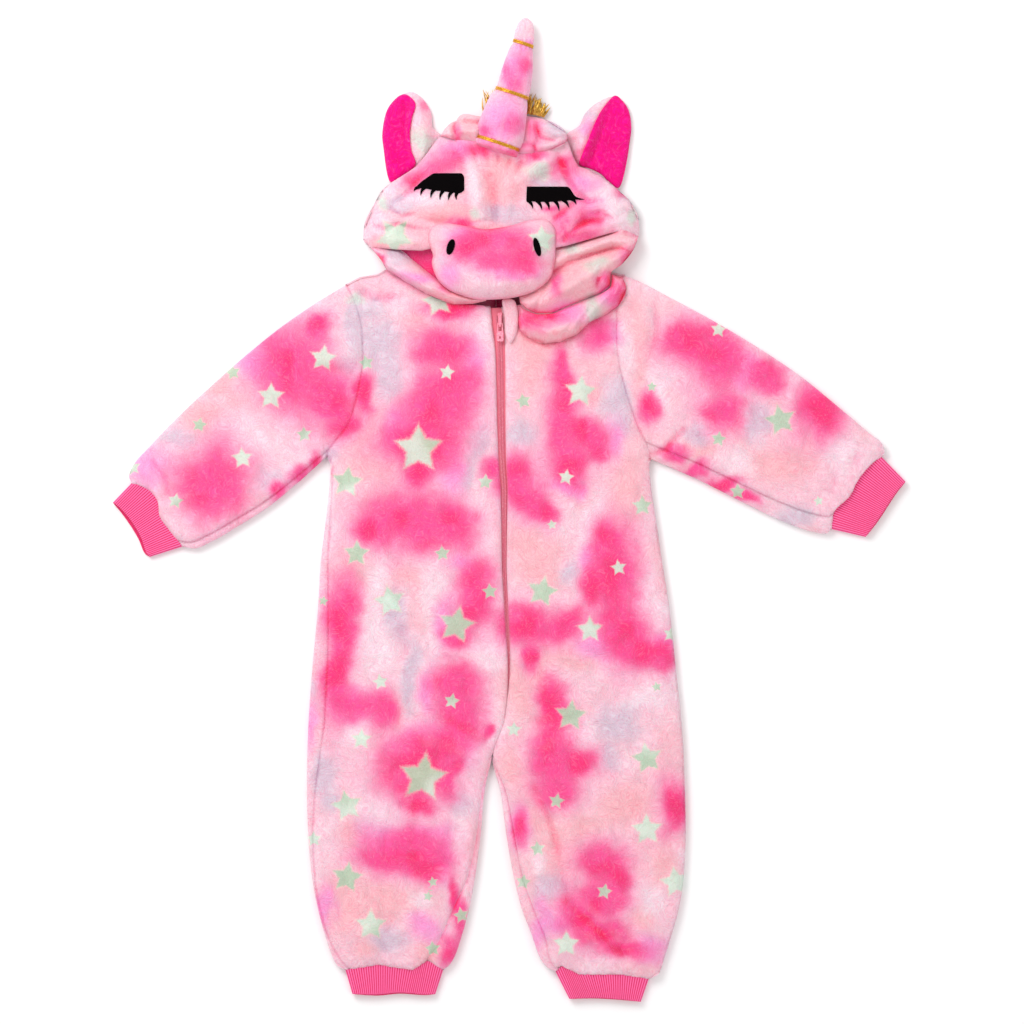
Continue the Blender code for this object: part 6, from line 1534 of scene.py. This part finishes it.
ears = {
    "right": {
        "edge": [(-124.5, 343.4), (-131.4, 381.5), (-132.5, 398.5), (-128, 420.5), (-117.5, 434), (-104, 440),
                 (-92, 434), (-82, 418.5), (-80, 403), (-70.5, 391), (-81.5, 375), (-94.5, 360), (-108, 350)],
        "lining": [(-125.5, 346), (-132, 381.5), (-133, 398.5), (-128.5, 420), (-119, 433), (-110, 437.5),
                   (-102, 433), (-98, 425.5), (-102, 411.5), (-104, 396), (-102.5, 378.5), (-98, 363),
                   (-111, 352)],
        "centre": (-106, 396), "liningCentre": (-117, 394),
        "folds": [(3.5, -2.4, (-111, 428), (-109, 410), (-109.5, 392), (-106, 372)),
                  (4, 1.6, (-104, 420), (-105, 400), (-105, 380)),
                  (6, 1.2, (-124, 420), (-124, 400), (-122, 376)),
                  (4, -1, (-128, 372), (-114, 366), (-102, 368))],
        "roll": [[(-103, 434, 4, 3), (-95, 422, 10, 7), (-92, 402, 12, 9), (-90, 382, 12, 9),
                  (-90, 374, 11, 8)]],
    },
    "left": {
        "edge": [(61.1, 396), (73.6, 404), (79.6, 416.5), (90.5, 427), (109.5, 435), (123, 427), (128, 410),
                 (127, 390), (121, 360.5), (113.5, 336), (98.5, 346), (80.5, 356), (71, 359.5), (59, 386)],
        "lining": [(111, 436), (119, 431), (126, 420), (128.5, 405), (127.5, 391), (122.5, 360), (116, 339.5),
                   (106, 343.5), (97, 353), (84, 359.5), (73.5, 363), (77, 375), (82, 387), (87, 399.5),
                   (94, 415), (102.5, 427.5)],
        "centre": (98, 392), "liningCentre": (104, 388),
        "folds": [(3, -2.4, (102, 408), (96, 394), (90, 378), (83, 360)),
                  (6, 2.4, (94, 404), (86, 388), (79, 370)),
                  (4, 2.2, (98, 398), (106, 394), (116, 386)),
                  (4, -2, (100, 388), (112, 381), (124, 382))],
        "roll": [[(103, 431, 4, 3), (89, 414, 10, 6), (79, 398, 12, 9), (75, 380, 10, 9), (76, 370, 8, 7)]],
    },
}


def addEar(side):
    # A plate with a rounded rim and the outer cloth rolled over its inner edge; the lining lies on it.
    sizes = ears[side]
    loop = loopThrough(sizes["edge"], 200)

    def plate(plan):
        # Rises from the loop like an ellipse, with the rolled cloth as a row of lobes.
        rim = rounded(gapTo(plan, closedLine(loop))[0], 6)
        height = 2 + 2.5 * rim + lobeHeight(plan, sizes["roll"]) * (0.4 + 0.6 * rim)
        return height + 0.4 * softNoise(plan, 15, 71) * rim

    grid = closedBody(fan(loop, sizes["centre"], 50), plate, level(0.1))
    outer = addPiece(f"earCloth_{side}", grid, "plush", [f"ear_{side}"], closed=True, dyeAndPaintedLight=earDye)
    declareCloth(outer, 2)
    inner = loopThrough(sizes["lining"], 160)
    share = np.linspace(0, 1, 40)[:, None]

    def lining(plan):
        # The plate raised by the lining and its folds, rounded over at its own edge.
        soft = np.maximum(2.4 + foldHeight(plan, sizes["folds"]), 0.3)
        return plate(plan) + 0.4 + soft * rounded(1 - share, 0.3)

    grid = closedBody(fan(inner, sizes["liningCentre"], 40), lining, lambda plan: plate(plan) - 0.5)
    piece = addPiece(f"earLining_{side}", grid, "lining", [f"ear_lining_{side}"], closed=True)
    declareCloth(piece, 2)


# Horn, cords and mane.
# tilt: how far the cords slant across. squash: the horn's depth over its width.
horn = {
    "stations": np.array([
        # along, shift to the right, half width
        (0, 0, 22.5), (3.5, 0.2, 23.5), (6.6, 0.2, 22.2), (9.7, 0.4, 24.3), (18, 0.7, 25.2), (32, 1.2, 23.8),
        (44, 1.6, 21.8), (56, 2.2, 19.4), (58.5, 3, 17.6), (61.3, 3.8, 16.9), (64.1, 4.1, 17.2),
        (72, 4.2, 17.1), (84, 4, 16.3), (97, 3.6, 14.4), (108, 3.3, 12.2), (112.2, 3.4, 10.3),
        (115, 3.4, 9.6), (117.8, 3, 10.2), (124, 2.6, 10.5), (132, 2.3, 9.2), (138, 2, 6.8), (141, 1.8, 4),
    ]),
    "foot": (-13.5, 378.5), "tip": (17.5, 516.5), "footHeight": 28.9, "tipHeight": 9.0, "squash": 0.72,
    "tilt": math.radians(6), "bands": {"low": 6.6, "middle": 61.3, "high": 115.0}, "sides": 96,
}
cords = {"radius": 0.95, "twist": 0.16, "strands": 3, "twists": 36, "apart": 1.7, "steps": 240, "sides": 10}


def hornPoint(place, angle, extra=0.0, slide=0.0):
    # The horn's surface: an ellipse across its axis, squashed in height, that leans by the tilt.
    foot, tip = np.array(horn["foot"]), np.array(horn["tip"])
    length = np.linalg.norm(tip - foot)
    ahead = (tip - foot) / length
    right = np.array([ahead[1], -ahead[0]])
    shift, half = smoothThrough(horn["stations"][:, 0], horn["stations"][:, 1:], np.ravel(place)).T
    shift, half = shift.reshape(np.shape(place)), half.reshape(np.shape(place))
    across = (half + extra) * np.cos(angle)
    onAxis = place + slide - across * math.tan(horn["tilt"])
    plan = foot + onAxis[..., None] * ahead + (shift + across)[..., None] * right
    axis = horn["footHeight"] + (horn["tipHeight"] - horn["footHeight"]) * place / length
    return np.concatenate([plan, (axis + (half * horn["squash"] + extra) * np.sin(angle))[..., None]], -1)


def gatheredFoot(angle):
    # Below the first cord the cloth flares out in gathers and sinks onto the forehead.
    share = np.linspace(1, 0.06, 12)[:, None]
    angle = np.broadcast_to(angle, (12, angle.shape[1]))
    gathers = 0.9 * np.sin(17 * angle) * np.sin(math.pi * share) + 0.5 * np.sin(31 * angle + 1) * share
    foot = hornPoint(np.zeros(angle.shape), angle, 1.0 * np.sin(math.pi * share) + gathers, -3.4 * share)
    foot[..., 2] += (17 - foot[..., 2]) * share**1.1
    return foot


def addHorn():
    # Rings up the horn, puckered on both sides of each cord, from inside its gathered foot to its tip.
    places = np.linspace(0, 141, 190)[:, None]
    angle = (np.arange(horn["sides"]) / horn["sides"] * fullTurn)[None]
    pucker = np.zeros((len(places), horn["sides"]))
    for place in horn["bands"].values():
        beside = np.exp(-(((places - place) / 5) ** 2)) * (1 - np.exp(-(((places - place) / 1.6) ** 2)))
        pucker += 0.55 * beside * np.sin(13 * angle + place)
    flat = np.dstack(np.broadcast_arrays(angle * 18, places))
    rumple = 0.35 * softNoise(flat, 12, 81) * np.sin(angle / 2) ** 2
    grid = hornPoint(*np.broadcast_arrays(places, angle), pucker + rumple)
    last = grid[-1].mean(0)
    point = last + (last - grid[-2].mean(0)) * 2.0
    cap = [point + (grid[-1] - point) * share for share in (0.85, 0.5, 0)]
    apron = gatheredFoot(angle)
    inner = apron[0].mean(0) + (apron[0] - apron[0].mean(0)) * np.array([0, 0.6])[:, None, None]
    grid = np.concatenate([inner, apron, grid, cap])
    piece = addPiece("hornPlush", grid, "plush", ["horn"], closed=True, dyeAndPaintedLight=hornDye)
    for name, place in horn["bands"].items():
        addBand(name, place)


def addBand(name, place):
    # Two turns of twisted cord side by side: a small round profile, lobed by its strands, round the horn.
    shape = (cords["steps"], cords["sides"])
    turn = (np.arange(shape[0]) / shape[0] * fullTurn)[:, None]
    around = (np.arange(shape[1]) / shape[1] * fullTurn)[None]
    radius = 1 + cords["twist"] * np.cos(cords["strands"] * around - cords["twists"] * turn)
    radius = cords["radius"] * radius
    points, faces = [], []
    for k, side in enumerate((-0.5, 0.5)):
        extra = 0.75 + radius * np.cos(around)
        slide = side * cords["apart"] + radius * np.sin(around)
        ring = hornPoint(np.full(shape, float(place)), np.broadcast_to(turn, shape), extra, slide)
        ring = np.concatenate([ring, ring[:1]])
        points.append(ring.reshape(-1, 3))
        faces.append(quadsOf(len(ring), shape[1], True) + k * len(points[0]))
    addMesh(f"hornCord_{name}", np.concatenate(points), np.concatenate(faces), "cord", [f"horn_cord_{name}"])


mane = {
    "roots": [(-27, 417.8), (-9.5, 420.7), (24, 417.2), (36, 414.4)], "blades": 66, "wide": 1.6,
    "heights": (1.2, 6.4), "long": 27.0,
}


def addMane():
    # Each blade is a narrow strip with a raised spine: it leans outwards at the ends and droops.
    count = mane["blades"]
    random = np.random.default_rng(11)
    place = ((np.arange(count) + 0.5) / count) ** 0.75
    root = along(mane["roots"], np.clip(place + random.uniform(-0.01, 0.01, count), 0, 1))
    lean = np.radians(-14 + 44 * place + random.uniform(-10, 10, count))
    long = (mane["long"] - 12 * place**4) * random.uniform(0.62, 1.05, count)
    low, high = mane["heights"]
    lift = random.uniform(low, high, count)
    t = np.linspace(0, 1, 9)[None, :, None]
    bend = random.uniform(-0.35, 0.35, count)[:, None, None]
    heading = lean[:, None, None] + bend * t
    across = np.array([-1.0, 0.0, 1.0])[None, None] * (1 - t**2.2)
    across = across * (mane["wide"] * (0.55 + 0.45 * place))[:, None, None]
    reach = long[:, None, None] * t
    x = root[:, 0, None, None] + np.sin(heading) * reach + np.cos(heading) * across
    y = root[:, 1, None, None] - 1.0 + np.cos(heading) * reach - np.sin(heading) * across
    spine = np.array([0.0, 0.7, 0.0])[None, None] * (1 - t)
    z = lift[:, None, None] + spine + 1.2 * np.sin(math.pi * t) * (lift[:, None, None] / high)
    points = np.stack([x, y, z + 0 * x], -1).reshape(-1, 3)
    faces = np.concatenate([quadsOf(9, 3, False) + 27 * k for k in range(count)])
    addMesh("maneTinsel", points, faces, "tinsel", ["mane_tuft"], facing=1)


# Zip.
zipper = {
    "top": 213.0, "bottom": -196.0, "half": 13.0, "bed": 5.2, "thick": 1.0, "pitch": 1.35, "reach": 2.5,
    "wire": 0.34, "rise": 1.15,
}


def zipLine(ys):
    # The centre front at each height, and how far the coil stands up between the fronts.
    centre, gap = (smoothThrough(-leftHalf[:, 0], leftHalf[:, columns[name]], -ys)
                   for name in ("middle", "fold"))
    return centre, 1.1 * np.clip((gap - 3.3) / 0.6, 0, 1)


def addZip():
    # The tape is a flat strip along the centre front; each tooth is half a ring of wire laid across it.
    ys = np.linspace(zipper["top"], zipper["bottom"], 300)
    centre, lift = zipLine(ys)
    across = np.array([-1, -0.6, -0.3, -0.12, 0.12, 0.3, 0.6, 1]) * zipper["half"]
    xs = centre[:, None] + across
    top = zipper["bed"] + zipper["thick"] + lift[:, None] * np.exp(-((across / 6) ** 2))
    upper = np.dstack([xs, np.repeat(ys[:, None], 8, 1), top])
    lower = upper[:, ::-1].copy()
    lower[..., 2] = zipper["bed"]
    tape = cappedEnds(np.concatenate([upper, lower], 1))
    piece = addPiece("zipTape", tape, "tape", ["zip_chain"], closed=True)
    declareCloth(piece, 2)
    tooth = np.arange(zipper["bottom"] + 2, zipper["top"] - 8, zipper["pitch"])
    centre, lift = zipLine(tooth)
    t = np.linspace(0, math.pi, 6)[None, None, :, None]
    turn = (np.arange(5) / 5 * fullTurn)[None, None, None]
    side = np.array([-1.0, 1.0])[:, None, None, None]
    out = 0.25 + (zipper["reach"] - 0.25) * (0.5 - 0.5 * np.cos(t))
    x = centre[None, :, None, None] + side * (out + zipper["wire"] * np.cos(turn) * np.cos(t))
    bed = zipper["bed"] + zipper["thick"] + lift[None, :, None, None] + 0.2
    z = bed + zipper["rise"] * np.sin(t) + zipper["wire"] * np.cos(turn) * np.sin(t)
    y = tooth[None, :, None, None] + side * zipper["pitch"] / 4 + zipper["wire"] * 1.25 * np.sin(turn) + 0 * t
    x, y, z = np.broadcast_arrays(x, y, z)
    points = np.stack([x, y, z], -1).reshape(-1, 3)
    faces = np.concatenate([quadsOf(6, 5, True) + 30 * k for k in range(2 * len(tooth))])
    addMesh("zipCoil", points, faces, "enamel")


guard = {
    "edge": [(-6.5, 221.5), (5, 221), (9, 210), (9.5, 197), (7.5, 184.5), (1.5, 175.5), (-3.2, 183),
             (-4.2, 191.5), (-4.6, 203), (-6.5, 213)],
    "centre": (2.4, 199), "floor": 12.3,
}


def addGuard():
    # A thin pad on the zip's top end, its upper side rising like an ellipse from its edge.
    loop = loopThrough(guard["edge"], 120)

    def top(plan):
        rim = rounded(gapTo(plan, closedLine(loop))[0], 5)
        return guard["floor"] + 2 + 3.5 * rim + 0.2 * softNoise(plan, 5, 91)

    grid = closedBody(fan(loop, guard["centre"], 24), top, level(guard["floor"]))
    piece = addPiece("zipGuard", grid, "plush", ["zip_guard"], closed=True, dyeAndPaintedLight=crownDye)
    declareCloth(piece, 2)


# Camera, floor and light, in metres and watts.
studio = {
    "frame": 1.0752, "centre": (0.00315, -0.0016), "away": 8.0, "floor": -0.0012, "sky": 0.78,
    # place, size and power of each lamp
    "lamps": {"key": ((-1.1, 1.3, 1.7), 1.3, 31), "fill": ((1.6, -1.0, 1.8), 1.8, 5.0)},
}


def setStudio():
    # The camera looks straight down, with a lens that fits the frame at the garment's height. Each
    # lamp is turned towards the garment's middle.
    scene = bpy.context.scene
    camera = bpy.data.objects.new("camera", bpy.data.cameras.new("camera"))
    camera.location = (*studio["centre"], studio["away"])
    camera.data.lens = camera.data.sensor_width * (studio["away"] - 0.01) / studio["frame"]
    camera.data.clip_end = 40
    scene.collection.objects.link(camera)
    scene.camera = camera
    floorMesh = bpy.data.meshes.new("floor")
    corners = [(x, y, studio["floor"]) for x, y in ((-4, -4), (4, -4), (4, 4), (-4, 4))]
    floorMesh.from_pydata(corners, [], [(0, 1, 2, 3)])
    floor = bpy.data.objects.new("floor", floorMesh)
    paint = Look("paleFloor", 0.9, **{"Specular IOR Level": 0.0})
    floorMesh.materials.append(paint.finish((0.98, 0.98, 0.98, 1.0)))
    scene.collection.objects.link(floor)
    scene.world = bpy.data.worlds.new("studio")
    scene.world.use_nodes = True
    sky = scene.world.node_tree.nodes["Background"].inputs
    sky["Color"].default_value, sky["Strength"].default_value = (1, 1, 1, 1), studio["sky"]
    for name, (place, size, power) in studio["lamps"].items():
        lamp = bpy.data.lights.new(name, "AREA")
        lamp.size, lamp.energy = size, power
        lit = bpy.data.objects.new(name, lamp)
        lit.location = place
        x, y, z = -np.array(place)
        lit.rotation_euler = (math.atan2(math.hypot(x, y), -z), 0, math.atan2(y, x) - math.pi / 2)
        scene.collection.objects.link(lit)
    scene.view_settings.view_transform = "Standard"


# Everything in order.
setStudio()
for side in ("right", "left"):
    back, strip = backPanel(side)
    front = frontPanel(side)
    cuff(f"ankle_cuff_{side}", *ankleLines(side, front, back, strip), ankleEnds[side])
    cuff(f"wrist_cuff_{side}", *sleeve(side), wristEnds[side])
    print("body, sleeve and cuffs made:", side)
hoodInside()
for side in ("right", "left"):
    faceHalf(side)
    addEye(side)
    addEar(side)
for name, sizes in rolls.items():
    roll(name, sizes)
addMuzzle()
print("hood made")
addHorn()
addMane()
addZip()
addGuard()
for name in ("slider", "pull_tab"):
    node = bpy.data.objects[name]
    node.data.materials.clear()
    node.data.materials.append(looks["enamel"])
print("horn, mane and zip made")
